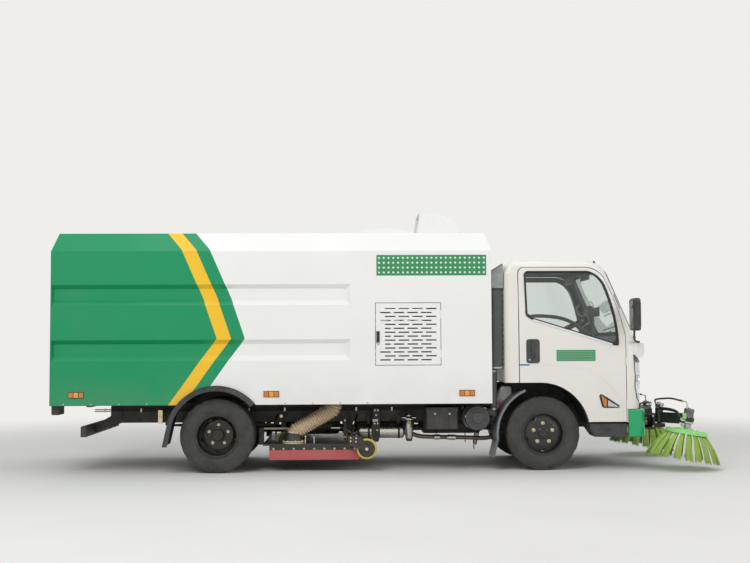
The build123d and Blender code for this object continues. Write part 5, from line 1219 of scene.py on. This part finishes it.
for angle in around(3, 0.9):
    piece.block((drum_x + 0.128 * cos(angle) - 0.012, drum_x + 0.128 * cos(angle) + 0.012), (-0.912, -0.86),
                (drum_z + 0.132 * sin(angle) - 0.004, drum_z + 0.132 * sin(angle) + 0.004), zinc,
                turn=Matrix.Rotation(pi / 2 - angle, 3, "Y"))
for height in (1.03, 0.64):
    piece.disc(0.0425, 0.016, (cab_rear_x - 0.107, stack_y, height), (0, 0, -1), zinc, 32)
piece.done("air_intake_dressing", "chassis", bevel=0.0012)

# Front mudguards: the rolled edge in pale grey, a painted sheen along the rear of the guard, and three
# bolts behind it
piece = Piece()
for side, s in SIDES:
    edge = [(front_axle_x + 0.4835 * cos(radians(a)), s * 0.9105, tyre_radius + 0.4835 * sin(radians(a)))
            for a in range(114, 187, 3)]
    piece.tube(edge, 0.0075, pale_plastic_and_painted_sheen, 10)
    for turn in (128, 150, 172):
        angle = radians(turn)
        piece.bolt((front_axle_x + 0.4765 * cos(angle), s * 0.91, tyre_radius + 0.4765 * sin(angle)),
                   (0, s, 0), 0.01, zinc)
piece.done("mudguard_edges", "chassis")

# Side window outline, in X and Z, from the lower rear corner round the top to the foot of the pillar
window_outline = ([(1.49, 1.566), (1.452, 1.589), (1.4395, 1.6), (1.432, 1.625), (1.421, 2.0)]
                  + arc((1.45, 2.014), 0.031, 180, 90, 5) + [(1.6, 2.045), (1.8, 2.045), (1.96, 2.045)]
                  + through((2.071, 2.045), (2.179, 1.985), (2.239, 1.9), 7)
                  + through((2.239, 1.9), (2.299, 1.727), (2.366, 1.312), 14)[1:]
                  + [(2.361, 1.301), (2.344, 1.298), (2.13, 1.365), (1.91, 1.434), (1.7, 1.5)])


def inward(outline, by):
    """A closed outline moved towards its middle."""
    centre = Vector((sum(p[0] for p in outline) / len(outline), sum(p[1] for p in outline) / len(outline)))
    moved = []
    for i, point in enumerate(outline):
        before, after = Vector(outline[i - 1]), Vector(outline[(i + 1) % len(outline)])
        along = (after - before).normalized()
        square = Vector((-along.y, along.x))
        if square.dot(centre - Vector(point)) < 0:
            square = -square
        moved.append(tuple(Vector(point) + square * by))
    return moved


def side_bar(piece, line, s, half, low, high, finish):
    """A flat strip on the cab's side along a line in X and Z, its foot and face at given heights."""
    rings = []
    for i, (x, z) in enumerate(line):
        before, after = Vector(line[max(i - 1, 0)]), Vector(line[min(i + 1, len(line) - 1)])
        along = (after - before).normalized()
        step = Vector((-along.y, along.x)) * half
        rings.append([on_cab_side(x + a * step.x, z + a * step.y, s, lift)
                      for a, lift in ((-1, low), (-0.8, high), (0.8, high), (1, low))])
    piece.rings(rings, finish)


def side_panel(piece, outline, s, low, high, finish, edge=0.0015):
    """A flat panel with a closed outline in X and Z on the cab's side."""
    piece.rings([[on_cab_side(x, z, s, low) for x, z in outline],
                 [on_cab_side(x, z, s, high - edge) for x, z in outline],
                 [on_cab_side(x, z, s, high) for x, z in inward(outline, edge)]], finish)


# The door handle's section, as shares of its half width and of its lift
grip_section = ((-1, 0), (-0.9, 0.6), (-0.6, 1), (0.6, 1), (0.9, 0.6), (1, 0), (0.7, -0.4), (-0.7, -0.4))


def dotted(piece, s, columns, x, x_step, y, z, z_step, radius, steps):
    """Four rows of flat white dots on a sign, from its lower rear dot."""
    for row in range(4):
        for column in range(columns):
            spot = (x + x_step * column, s * y, z + z_step * row)
            piece.lathe([(0, radius), (0.0006, radius), (0.0006, 0)], spot, (0, s, 0), dot_white, steps)


def cab_door_dressing(side, s):
    """Seals, sill strip, handle, side indicator, sign and tape of one cab door."""
    body = f"cab_door_{side}"
    piece = Piece()
    for grow, radius in ((0.001, 0.0075), (0.0095, 0.0065)):
        piece.tube([on_cab_side(x, z, s, 0.001) for x, z in inward(window_outline, -grow)], radius,
                   seal_rubber, 10, closed=True)
    # the sill strip: matt white standing for bright chrome, a painted reflection
    side_bar(piece, [(1.49, 1.553), (1.911, 1.422), (2.31, 1.297)], s, 0.0085, 0.0, 0.012, sill_painted_reflection_white)
    side_bar(piece, [(1.478, 1.5725), (1.911, 1.4375), (2.352, 1.3)], s, 0.0055, 0.0, 0.011, seal_rubber)
    side_panel(piece, [(1.413, 1.64), (1.422, 1.596), (1.45, 1.572), (1.492, 1.548), (1.508, 1.558),
                       (1.47, 1.596)], s, 0.0, 0.0085, seal_rubber)
    side_panel(piece, [(2.3, 1.303), (2.352, 1.282), (2.38, 1.29), (2.376, 1.345), (2.36, 1.4),
                       (2.348, 1.33)], s, 0.0, 0.0085, seal_rubber)
    # the black grab bar behind the glass, along the sill
    bar = smooth_path([(1.452, s * 0.872, 1.56), (1.466, s * 0.872, 1.578), (1.508, s * 0.876, 1.592),
                       (1.597, s * 0.876, 1.592), (1.724, s * 0.876, 1.582), (1.819, s * 0.876, 1.561),
                       (1.897, s * 0.876, 1.53), (1.962, s * 0.874, 1.488), (2.021, s * 0.87, 1.44),
                       (2.093, s * 0.862, 1.39), (2.14, s * 0.855, 1.34)], 5)
    girth = [0.0185 + 0.012 * max(0.0, (point.x - 1.9) / 0.24) for point in bar]
    piece.tube(bar, girth, seal_rubber, 16)
    piece.done(f"window_seal_{side}", body)

    piece = Piece()
    x0, x1, z0, z1 = 1.418, 1.558, 1.103, 1.353
    outline = rounded(x0, x1, z0, z1, 0.03, 6)
    rings = []
    for inset, proud in ((0.0, -0.001), (0.0, 0.0025), (0.0025, 0.004), (0.0065, 0.003), (0.011, -0.003),
                         (0.015, -0.013), (0.019, -0.0172), (0.026, -0.018)):
        rings.append([on_cab_side(x, z, s, proud) for x, z in inward(outline, inset)])
    piece.rings(rings, dark_plastic)
    grip = []
    for step in range(13):
        t = step / 12
        z = z1 - 0.014 - (z1 - z0 - 0.03) * t
        lift = -0.012 + 0.022 * sin(pi * min(1, 0.08 + t * 1.02)) ** 0.6
        half = 0.0185 + 0.004 * t + 0.016 * max(0.0, t - 0.72) / 0.28
        grip.append([on_cab_side((x0 + x1) / 2 + half * a, z, s, lift + 0.009 * b - 0.004)
                     for a, b in grip_section])
    piece.rings(grip, black_plastic)
    piece.lathe([(-0.018, 0), (-0.018, 0.0105), (0.001, 0.0105), (0.003, 0.009), (0.003, 0)],
                on_cab_side(x0 + 0.033, z0 + 0.036, s), (0, s, 0), chrome, 24)
    piece.block((x0 + 0.0315, x0 + 0.0345), (s * 0.9432, s * 0.9436), (z0 + 0.03, z0 + 0.042),
                black_plastic)
    piece.done(f"door_handle_{side}", body, angle=40)

    # side indicator: black rim, amber rear part and clear front part
    piece = Piece()
    side_panel(piece, inward([(2.172, 0.77), (2.184, 0.78), (2.245, 0.746), (2.372, 0.66),
                              (2.371, 0.65), (2.212, 0.65), (2.198, 0.662)], -0.007), s, 0.003, 0.0085,
               seal_rubber)
    side_panel(piece, inward([(2.177, 0.78), (2.208, 0.652), (2.246, 0.652), (2.25, 0.732)], 0.007), s,
               0.006, 0.011, amber_lens)
    side_panel(piece, inward([(2.256, 0.73), (2.25, 0.652), (2.376, 0.651)], 0.007), s, 0.006, 0.011,
               white_lens)
    piece.done(f"side_indicator_{side}", body)

    piece = Piece()
    piece.block((1.731, 2.134), (s * 0.9395, s * 0.9408), (1.125, 1.24), sign_green)
    dotted(piece, s, 16, 1.75, 0.0242, 0.9405, 1.143, 0.0265, 0.0042, 10)
    piece.block((1.341, 1.449), (s * 0.9395, s * 0.9407), (1.081, 1.096), tape_blue)
    piece.done(f"door_sign_{side}", body)


for side, s in SIDES:
    cab_door_dressing(side, s)


# Headlamps: a clear shell over a bright reflector with two bowls, in a black rim, round the cab's corner
def lamp_point(across, up, proud, s):
    """A point of the headlamp: across from inner to rear edge, up from its foot to its brow."""
    turn = max(0.0, across * 0.33 - 0.17) / 0.15
    z = 0.93
    for _ in range(3):
        front, half, corner = cab_at(z)
        x = front - corner * (1 - cos(turn))
        brow = 1.18 - (x - nose_x + 0.056) * 0.974
        foot = max(0.688, 0.738 - (x - nose_x + 0.034) * 1.25)
        if x - nose_x < -0.034:
            foot = min(0.9, 0.738 + (-0.034 - x + nose_x) * 5.5)
        z = foot + (brow - foot) * up
    front, half, corner = cab_at(z)
    aside = 0.62 + across * 0.33 if turn == 0 else half - corner + (corner + proud) * sin(turn)
    return Vector((front - corner + (corner + proud) * cos(turn), s * aside, z))


# Sections of a bowl and of the bulb in it, as (along, share of the bowl's radius)
lamp_bowl = [(-0.003, 0), (-0.003, 0.3), (0.001, 0.55), (0.006, 0.82), (0.0145, 1), (0.0145, 1.06),
             (-0.003, 1.07)]
lamp_bulb = [(0, 0), (0, 0.16), (0.01, 0.16), (0.013, 0.1), (0.013, 0)]
wide, tall = 24, 12
for side, s in SIDES:
    grid = [[(a / wide, b / tall) for a in range(wide + 1)] for b in range(tall + 1)]
    piece = Piece()
    piece.skin([[lamp_point(a, b, 0.003, s) for a, b in row] for row in grid], clear_lens,
               back=[[lamp_point(a, b, 0.0005, s) for a, b in row] for row in grid])
    piece.done(f"headlamp_lens_{side}", "chassis", ["headlamps"], angle=50)
    piece = Piece()
    piece.skin([[lamp_point(a, b, -0.02 - 0.006 * abs(sin(a * pi * 7)), s) for a, b in row]
                for row in grid], reflector_bright)
    edge = ([(a / wide, 0) for a in range(wide)] + [(1, b / tall) for b in range(tall)]
            + [(1 - a / wide, 1) for a in range(wide)] + [(0, 1 - b / tall) for b in range(tall)])
    piece.rings([[lamp_point(a, b, depth, s) for a, b in edge] for depth in (-0.002, -0.03)],
                black_plastic, caps=False)
    piece.tube([lamp_point(a, b, 0.0015, s) for a, b in edge], 0.0055, black_plastic, 8, closed=True)
    for across, up, radius in ((0.24, 0.66, 0.066), (0.24, 0.27, 0.05), (0.7, 0.6, 0.034)):
        seat = lamp_point(across, up, -0.022, s)
        facing = (1, 0, 0) if across < 0.5 else (0.8, s * 0.6, 0)
        for profile, finish, steps in ((lamp_bowl, reflector_bright, 40), (lamp_bulb, chrome, 20)):
            scaled = [(along, share * radius) for along, share in profile]
            piece.lathe(scaled, seat, facing, finish, steps)
    piece.done(f"headlamp_reflector_{side}", "chassis", ["headlamps"], angle=50)

# Cab front: wipers, grille inserts, pillar slits and two domes on the roof
piece = Piece()
for pivot_y, tip_y in ((0.56, 0.02), (-0.05, -0.59)):
    pivot = on_cab_front(pivot_y, 1.395, 0.012)
    tip = on_cab_front(tip_y, 1.475, 0.03)
    piece.lathe([(-0.012, 0), (-0.012, 0.022), (0.006, 0.02), (0.016, 0.014), (0.018, 0)], pivot,
                (1, 0, 0.35), black_plastic, 24)
    piece.tube(smooth_path([pivot + Vector((0.012, 0, 0.004)),
                            pivot.lerp(tip, 0.3) + Vector((0.016, 0, 0.002)),
                            pivot.lerp(tip, 0.7) + Vector((0.006, 0, 0))], 6), 0.0065, black_plastic, 10)
    blade = [on_cab_front(tip_y + (0.42 - 0.6 * k / 10) * (1 if pivot_y > tip_y else -1),
                          1.462 + 0.003 * k, 0.012) for k in range(11)]
    piece.tube(blade, 0.006, seal_rubber, 8)
    piece.tube([p + Vector((0.01, 0, 0.006)) for p in blade[2:9]], 0.0035, black_plastic, 8)
for z_low, half in ((0.7, 0.43), (0.75, 0.43), (0.8, 0.43), (0.85, 0.43), (1.01, 0.33), (1.06, 0.33)):
    for z in (z_low - 0.011, z_low + 0.011):
        y_steps = [-half + 2 * half * k / 12 for k in range(13)]
        piece.tube([on_cab_front(y, z, -0.014) for y in y_steps], 0.0028, black_plastic, 6)
    for k in range(19):
        y = -half + 0.02 + (2 * half - 0.04) * k / 18
        piece.tube([on_cab_front(y, z_low - 0.014, -0.018), on_cab_front(y, z_low + 0.014, -0.018)],
                   0.0022, black_plastic, 6)
for s in (-1, 1):
    slit = [(2.351, 1.816), (2.366, 1.775), (2.382, 1.735), (2.397, 1.702), (2.412, 1.67)]
    rings = []
    for x, z in slit:
        rings.append([on_cab_side(x + a, z, s, lift)
                      for a, lift in ((-0.006, 0.0005), (-0.005, 0.002), (0.005, 0.002), (0.006, 0.0005))])
    piece.rings(rings, seal_rubber)
for x, radius, high in ((2.236, 0.026, 0.03), (2.272, 0.02, 0.046)):
    piece.lathe([(-0.05, 0), (-0.05, radius), (0.0, radius), (high * 0.6, radius * 0.8),
                 (high, radius * 0.45), (high + 0.003, 0)], (x, -0.3, 2.16), (0, 0, 1), black_plastic, 28)
piece.done("cab_front_dressing", "chassis", angle=45)

# Windscreen seals: black rubber round both fixed panes
piece = Piece()
corner_arcs = [((-0.716, 2.01), 0.06, 175, 90), ((0.716, 2.01), 0.06, 90, 5),
               ((0.726, 1.485), 0.06, 5, -90), ((-0.726, 1.485), 0.06, 270, 175)]
screen = [point for centre, radius, start, end in corner_arcs
          for point in arc(centre, radius, start, end, 6)]
dense = []
for i, (y, z) in enumerate(screen):
    y_next, z_next = screen[(i + 1) % len(screen)]
    parts = max(1, int(sqrt((y_next - y) ** 2 + (z_next - z) ** 2) / 0.08))
    dense += [(y + (y_next - y) * k / parts, z + (z_next - z) * k / parts) for k in range(parts)]
piece.tube([on_cab_front(y, z, 0.001) for y, z in dense], 0.0125, seal_rubber, 10, closed=True)
rear_pane = rounded(-0.56, 0.56, 1.51, 1.91, 0.06, 6)
for x in (cab_rear_x - 0.002, cab_rear_x + 0.036):
    piece.tube([(x, y, z) for y, z in rear_pane], 0.011, seal_rubber, 10, closed=True)
piece.done("windscreen_seals", "chassis")

# Mirrors: silvered glass in a ribbed head, two clamps on the tube, bolts at its foot
piece = Piece()
for side, s in SIDES:
    piece.block((2.475, 2.479), (s * 1.012, s * 1.168), (1.455, 1.745), mirror_silver)
    for k in range(7):
        y = 1.024 + 0.022 * k
        piece.tube([(2.5565, s * y, 1.478), (2.5575, s * y, 1.72)], 0.0035, black_plastic, 8)
    for k in range(4):
        x = 2.493 + 0.016 * k
        piece.tube([(x, s * 1.1848, 1.48), (x, s * 1.1848, 1.722)], 0.003, black_plastic, 8)
    for height in (1.452, 1.368):
        piece.disc(0.0155, 0.022, (2.514, s * 1.046, height - 0.012), (0, 0, 1), dark_plastic, 20)
    for x in (2.586, 2.614):
        piece.bolt((x, s * 0.86, 1.3235), (0, 0, 1), 0.01, zinc)
piece.done("mirror_glass_and_ribs", "chassis", bevel=0.001)


# Seats: cushions and backs swollen by a cloth simulation, on plinths, with piping and a rail
def pillow(name, low, high, lean, panels):
    """A padded cushion: a rounded block that the simulation swells, then leans and rides in the cab."""
    size = [b - a for a, b in zip(low, high)]
    middle = [(a + b) / 2 for a, b in zip(low, high)]
    form = bmesh.new()
    bmesh.ops.create_cube(form, size=1.0)
    bmesh.ops.scale(form, vec=size, verts=form.verts)
    bmesh.ops.bevel(form, geom=form.edges, offset=min(size) * 0.3, segments=4, affect="EDGES", profile=0.5)
    mesh = bpy.data.meshes.new(name)
    form.to_mesh(mesh)
    form.free()
    mesh.materials.append(seat_cloth)
    cushion = put_in_scene(name, mesh)
    remesh = cushion.modifiers.new("even", "REMESH")
    remesh.mode = "VOXEL"
    remesh.voxel_size = 0.014
    apply_modifiers(cushion)
    thin = min(range(3), key=lambda axis: size[axis])
    rest = [point.co.copy() for point in cushion.data.vertices]
    pins = cushion.vertex_groups.new(name="pins")
    for index, point in enumerate(rest):
        beneath = point[thin] < -size[thin] * 0.38
        stitched = any(abs(point.y - line * size[1]) < 0.008 for line in panels)
        near_rim = max(abs(point[axis]) / size[axis] for axis in range(3) if axis != thin) > 0.44
        if beneath or (stitched and not near_rim):
            pins.add([index], 1.0, "REPLACE")
    cloth = cushion.modifiers.new("swell", "CLOTH")
    cloth.settings.use_pressure = True
    cloth.settings.uniform_pressure_force = 4.0
    cloth.settings.effector_weights.gravity = 0.0
    cloth.settings.vertex_group_mass = "pins"
    cloth.settings.quality = 5
    cloth.point_cache.frame_start = 1
    cloth.point_cache.frame_end = 20
    for number in range(1, 21):
        bpy.context.scene.frame_set(number)
    apply_modifiers(cushion)
    bpy.context.scene.frame_set(1)
    for point, start in zip(cushion.data.vertices, rest):
        moved = point.co - start
        if moved.length > 0.02:
            point.co = start + moved * (0.02 / moved.length)
    turn = Matrix.Rotation(lean, 4, "Y")
    cushion.data.transform(Matrix.Translation(middle) @ turn)
    cushion.data.shade_smooth()
    smooth = cushion.modifiers.new("smooth", "SUBSURF")
    smooth.levels = smooth.render_levels = 1
    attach(cushion, "chassis")
    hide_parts("seats")


def apply_modifiers(thing):
    """Puts the result of a piece's modifiers into its own mesh."""
    graph = bpy.context.evaluated_depsgraph_get()
    result = bpy.data.meshes.new_from_object(thing.evaluated_get(graph))
    thing.modifiers.clear()
    thing.data = result


plinths = Piece()
for name, y, width in (("driver", 0.4, 0.48), ("passenger", -0.3, 0.68)):
    panels = (-0.24, 0.24) if name == "driver" else (-0.3, 0.0, 0.3)
    pillow(f"cushion_{name}", (1.345, y - width / 2 + 0.012, 1.04),
           (1.822, y + width / 2 - 0.012, 1.146), 0, panels)
    pillow(f"backrest_{name}", (1.312, y - width / 2 + 0.016, 1.16),
           (1.402, y + width / 2 - 0.016, 1.7), -0.075, panels)
    plinths.block((1.332, 1.828), (y - width / 2 + 0.004, y + width / 2 - 0.004), (0.956, 1.042),
                  dark_plastic)
    plinths.tube([(1.826, y - width / 2 + 0.02, 1.044), (1.826, y + width / 2 - 0.02, 1.044)], 0.0055,
                 seat_piping, 10)
    plinths.tube([(1.35, y - width / 2 + 0.05, 1.7), (1.34, y - width / 2 + 0.05, 1.735),
                  (1.34, y + width / 2 - 0.05, 1.735), (1.35, y + width / 2 - 0.05, 1.7)], 0.008,
                 seat_piping, 10)
plinths.done("seat_plinths", "chassis", ["seats"], bevel=0.006)

# Driver's place: wheel rim in rubber, column hood, stalks, gear lever, monitor, grab handle, visors, belts
steer_foot = Vector((nose_x - 0.38, 0.4, 1.25))
steer_axis = Vector((-cos(radians(62)), 0, sin(radians(62))))
steer_centre = steer_foot + steer_axis * 0.26
first, second = Vector((0, 1, 0)), steer_axis.cross(Vector((0, 1, 0)))
piece = Piece()
rim = [steer_centre + (first * cos(a) + second * sin(a)) * 0.205 for a in around(48)]
piece.tube(rim, 0.0155, seal_rubber, 12, closed=True)
piece.lathe([(-0.01, 0), (-0.01, 0.052), (0.012, 0.05), (0.02, 0.036), (0.021, 0)], steer_centre,
            steer_axis, dark_plastic, 32)
piece.rings([[steer_foot + steer_axis * 0.02 + first * (a * 0.15) + second * (b * 0.045) + steer_axis * c
              for a, b in ((-1, -1), (1, -1), (0.9, 1), (-0.9, 1))] for c in (-0.02, 0.075)], dark_plastic)
for a in (-1, 1):
    piece.tube([steer_foot + steer_axis * 0.19 + first * (0.03 * a),
                steer_foot + steer_axis * 0.205 + first * (0.175 * a)], [0.005, 0.008], dark_plastic, 10)
piece.tube([(1.93, 0.06, 1.0), (1.9, 0.06, 1.24), (1.88, 0.05, 1.33)], 0.01, chrome, 12)
piece.lathe([(-0.03, 0), (-0.03, 0.022), (0.01, 0.028), (0.03, 0.02), (0.036, 0)], (1.88, 0.05, 1.34),
            (0, 0, 1), seal_rubber, 24)
# a monitor box on the dash, a light lever and the grab handle of the far pillar
piece.prism([(2.258, 1.612), (2.258, 1.692), (2.398, 1.716), (2.4, 1.612)], 0.02, 0.2, dark_plastic)
piece.tube([(2.33, 0.11, 1.38), (2.33, 0.11, 1.62)], 0.02, dark_plastic, 14)
piece.tube([(2.255, 0.3, 1.494), (2.33, 0.3, 1.54), (2.4, 0.3, 1.574)], [0.009, 0.012, 0.014],
           intake_grey, 12)
piece.tube(smooth_path([(2.335, 0.8, 1.765), (2.3, 0.8, 1.737), (2.298, 0.8, 1.7), (2.32, 0.8, 1.655),
                        (2.347, 0.8, 1.634), (2.375, 0.8, 1.634)], 6), 0.011, intake_grey, 12)
for y in (0.43, -0.43):
    piece.block((2.135, 2.15), (y - 0.2, y + 0.2), (1.985, 2.065), pale_plastic_and_painted_sheen)
for y in (0.82, -0.82):
    piece.block((1.3, 1.304), (y - 0.024, y + 0.024), (1.02, 1.9), seal_rubber)
piece.done("drivers_place", "chassis", bevel=0.003)

# Body sign: a green bar with evenly set white dots
for side, s in SIDES:
    piece = Piece()
    piece.block((-0.125, 1.005), (s * 0.9995, s * 1.0008), (2.01, 2.222), sign_green)
    dotted(piece, s, 23, -0.098, 0.049, 1.0004, 2.042, 0.05, 0.0105, 14)
    piece.done(f"body_sign_{side}", "chassis")

# Hatch latch: a bright cup with a dark paddle and a lock
for side, s in SIDES:
    piece = Piece()
    rim = [(-0.131, 1.443), (-0.131, 1.322), (-0.116, 1.296), (-0.104, 1.296), (-0.091, 1.322),
           (-0.091, 1.443)]
    piece.prism(rim, s * 0.999, s * 1.0035, aluminium)
    piece.block((-0.127, -0.096), (s * 1.002, s * 1.0055), (1.326, 1.439), seal_rubber)
    piece.block((-0.121, -0.103), (s * 1.004, s * 1.01), (1.345, 1.432), gear_black)
    piece.disc(0.007, 0.006, (-0.11, s * 1.003, 1.311), (0, s, 0), chrome, 16)
    piece.done(f"hatch_latch_{side}", f"side_hatch_{side}", bevel=0.0015)

# Signal lamps: amber side markers in black holders, tail clusters, red beacon
beacon_x = -3.32
piece = Piece()
for side, s in SIDES:
    for x in (-3.172, -1.199, 0.797):
        piece.block((x - 0.08, x + 0.08), (s * 0.999, s * 1.004), (0.774, 0.837), seal_rubber)
        for k in (-1, 0, 1):
            centre = x + k * 0.052
            piece.block((centre - 0.0232, centre + 0.0232), (s * 1.003, s * 1.0115), (0.78, 0.831),
                        amber_lens if k else amber_bright)
    tail_y = s * 0.8
    piece.block((-3.432, -3.366), (tail_y - 0.13, tail_y + 0.13), (0.602, 0.697), black_plastic)
    for offset, lens in ((-0.085, red_lens), (0.0, amber_lens), (0.085, white_lens)):
        middle = tail_y + s * offset
        piece.block((-3.44, -3.43), (middle - 0.039, middle + 0.039), (0.612, 0.688), lens)
piece.disc(0.044, 0.014, (beacon_x, 0, body_top), (0, 0, 1), black_plastic, 32)
piece.lathe([(0.012, 0.0), (0.012, 0.036), (0.044, 0.037), (0.054, 0.03), (0.0595, 0.014), (0.0598, 0)],
            (beacon_x, 0, body_top), (0, 0, 1), red_lens, 32)
piece.done("signal_lamps_dressed", "chassis", ["signal_lamps"], bevel=0.0015)

# Rear door: latches, grab bar, blank plate and red reflectors
piece = Piece()
for s in (-1, 1):
    for z in (0.9, 1.25):
        piece.block((-3.452, -3.44), (s * 0.87 - 0.03, s * 0.87 + 0.03), (z, z + 0.14), aluminium)
        piece.tube([(-3.452, s * 0.87, z + 0.02), (-3.46, s * 0.87, z + 0.06),
                    (-3.456, s * 0.87, z + 0.125)], 0.008, gear_black, 12)
    piece.block((-3.443, -3.4395), (s * 0.74 - 0.07, s * 0.74 + 0.07), (0.765, 0.805), red_lens)
piece.block((-3.4435, -3.4395), (-0.18, 0.18), (0.96, 1.11), dark_plastic)
piece.block((-3.4455, -3.443), (-0.17, 0.17), (0.968, 1.102), dot_white)
piece.tube([(-3.441, -0.3, 1.25), (-3.458, -0.29, 1.25), (-3.458, 0.29, 1.25), (-3.441, 0.3, 1.25)], 0.009,
           gear_black, 12)
piece.done("rear_door_fittings", "rear_door", bevel=0.0012)

# Roof knob, and the bolts along the body's lower edge, which leave out the wheel arches
piece = Piece()
piece.lathe([(0, 0), (0, 0.03), (0.012, 0.03), (0.02, 0.016), (0.04, 0.018), (0.052, 0.012), (0.054, 0)],
            (-1.49, -0.4, body_top), (0, 0, 1), cab_white, 28)
for s in (-1, 1):
    for k in range(12):
        x = -3.3 + 0.28 * k
        if abs(x - rear_axle_x) > 0.56:
            piece.bolt((x, s * 0.9995, 0.712), (0, s, 0), 0.01, zinc, 0.008)
piece.done("roof_knob_and_body_bolts", "chassis")

# Camera, light and floor
camera_place = Vector((-0.474, -12.82, 1.274))
yaw, pitch, roll = radians(1.62), radians(3.27), radians(-0.268)
ahead = Vector((sin(yaw) * cos(pitch), cos(yaw) * cos(pitch), sin(pitch)))
level = Vector((cos(yaw), -sin(yaw), 0))
raised = level.cross(ahead)
right = cos(roll) * level + sin(roll) * raised
up = -sin(roll) * level + cos(roll) * raised
view = bpy.data.cameras.new("photo_view")
view.lens = 55.47
view.sensor_width = 36
camera = put_in_scene("photo_view", view)
camera.matrix_world = Matrix.Translation(camera_place) @ Matrix((right, up, -ahead)).transposed().to_4x4()
bpy.context.scene.camera = camera


def soft_lamp(name, place, target, size, power):
    """A large square lamp that looks at a point."""
    data = bpy.data.lights.new(name, "AREA")
    data.shape = "SQUARE"
    data.size = size
    data.energy = power
    lamp = put_in_scene(name, data)
    aim = (Vector(target) - Vector(place)).to_track_quat("-Z", "Y")
    lamp.matrix_world = Matrix.Translation(place) @ aim.to_matrix().to_4x4()


soft_lamp("key", (-4.0, -8.5, 8.0), (0, 0, 1.2), 6.0, 500)
soft_lamp("fill", (8.0, -6.0, 4.5), (1.5, 0, 1.0), 5.0, 190)
soft_lamp("top", (0, 1.0, 9.5), (0, 0, 1.0), 8.0, 175)

# The room: soft even light on the truck, and a pale backdrop to the eye
world = bpy.data.worlds.new("studio")
world.use_nodes = True
world.node_tree.nodes.clear()
tree = world.node_tree
height = add_node(tree, "SeparateXYZ", {0: add_node(tree, "TexCoord", out="Generated")}, out="Z")
share = add_node(tree, "MapRange", {"Value": height, "From Min": -0.2, "From Max": 0.7})
sky = add_node(tree, "ValToRGB", {"Fac": share}, stops=[(0.0, "#CFCCC6"), (1.0, "#F3F6FA")])
light = add_node(tree, "Background", {"Color": sky, "Strength": 0.56})
backdrop = add_node(tree, "Background", {"Color": backdrop_colour, "Strength": 1.0})
add_node(tree, "OutputWorld", {"Surface": add_node(tree, "MixShader",
                                                   {0: toward_camera(tree), 1: light, 2: backdrop})})
bpy.context.scene.world = world
bpy.context.scene.view_settings.view_transform = "Standard"

floor_mesh = bpy.data.meshes.new("floor")
reach = 60.0
floor_mesh.from_pydata([(-reach, -reach, 0), (reach, -reach, 0), (reach, reach, 0), (-reach, reach, 0)], [],
                       [(0, 1, 2, 3)])
floor_mesh.materials.append(pale_floor("pale_studio_floor"))
put_in_scene("floor", floor_mesh)
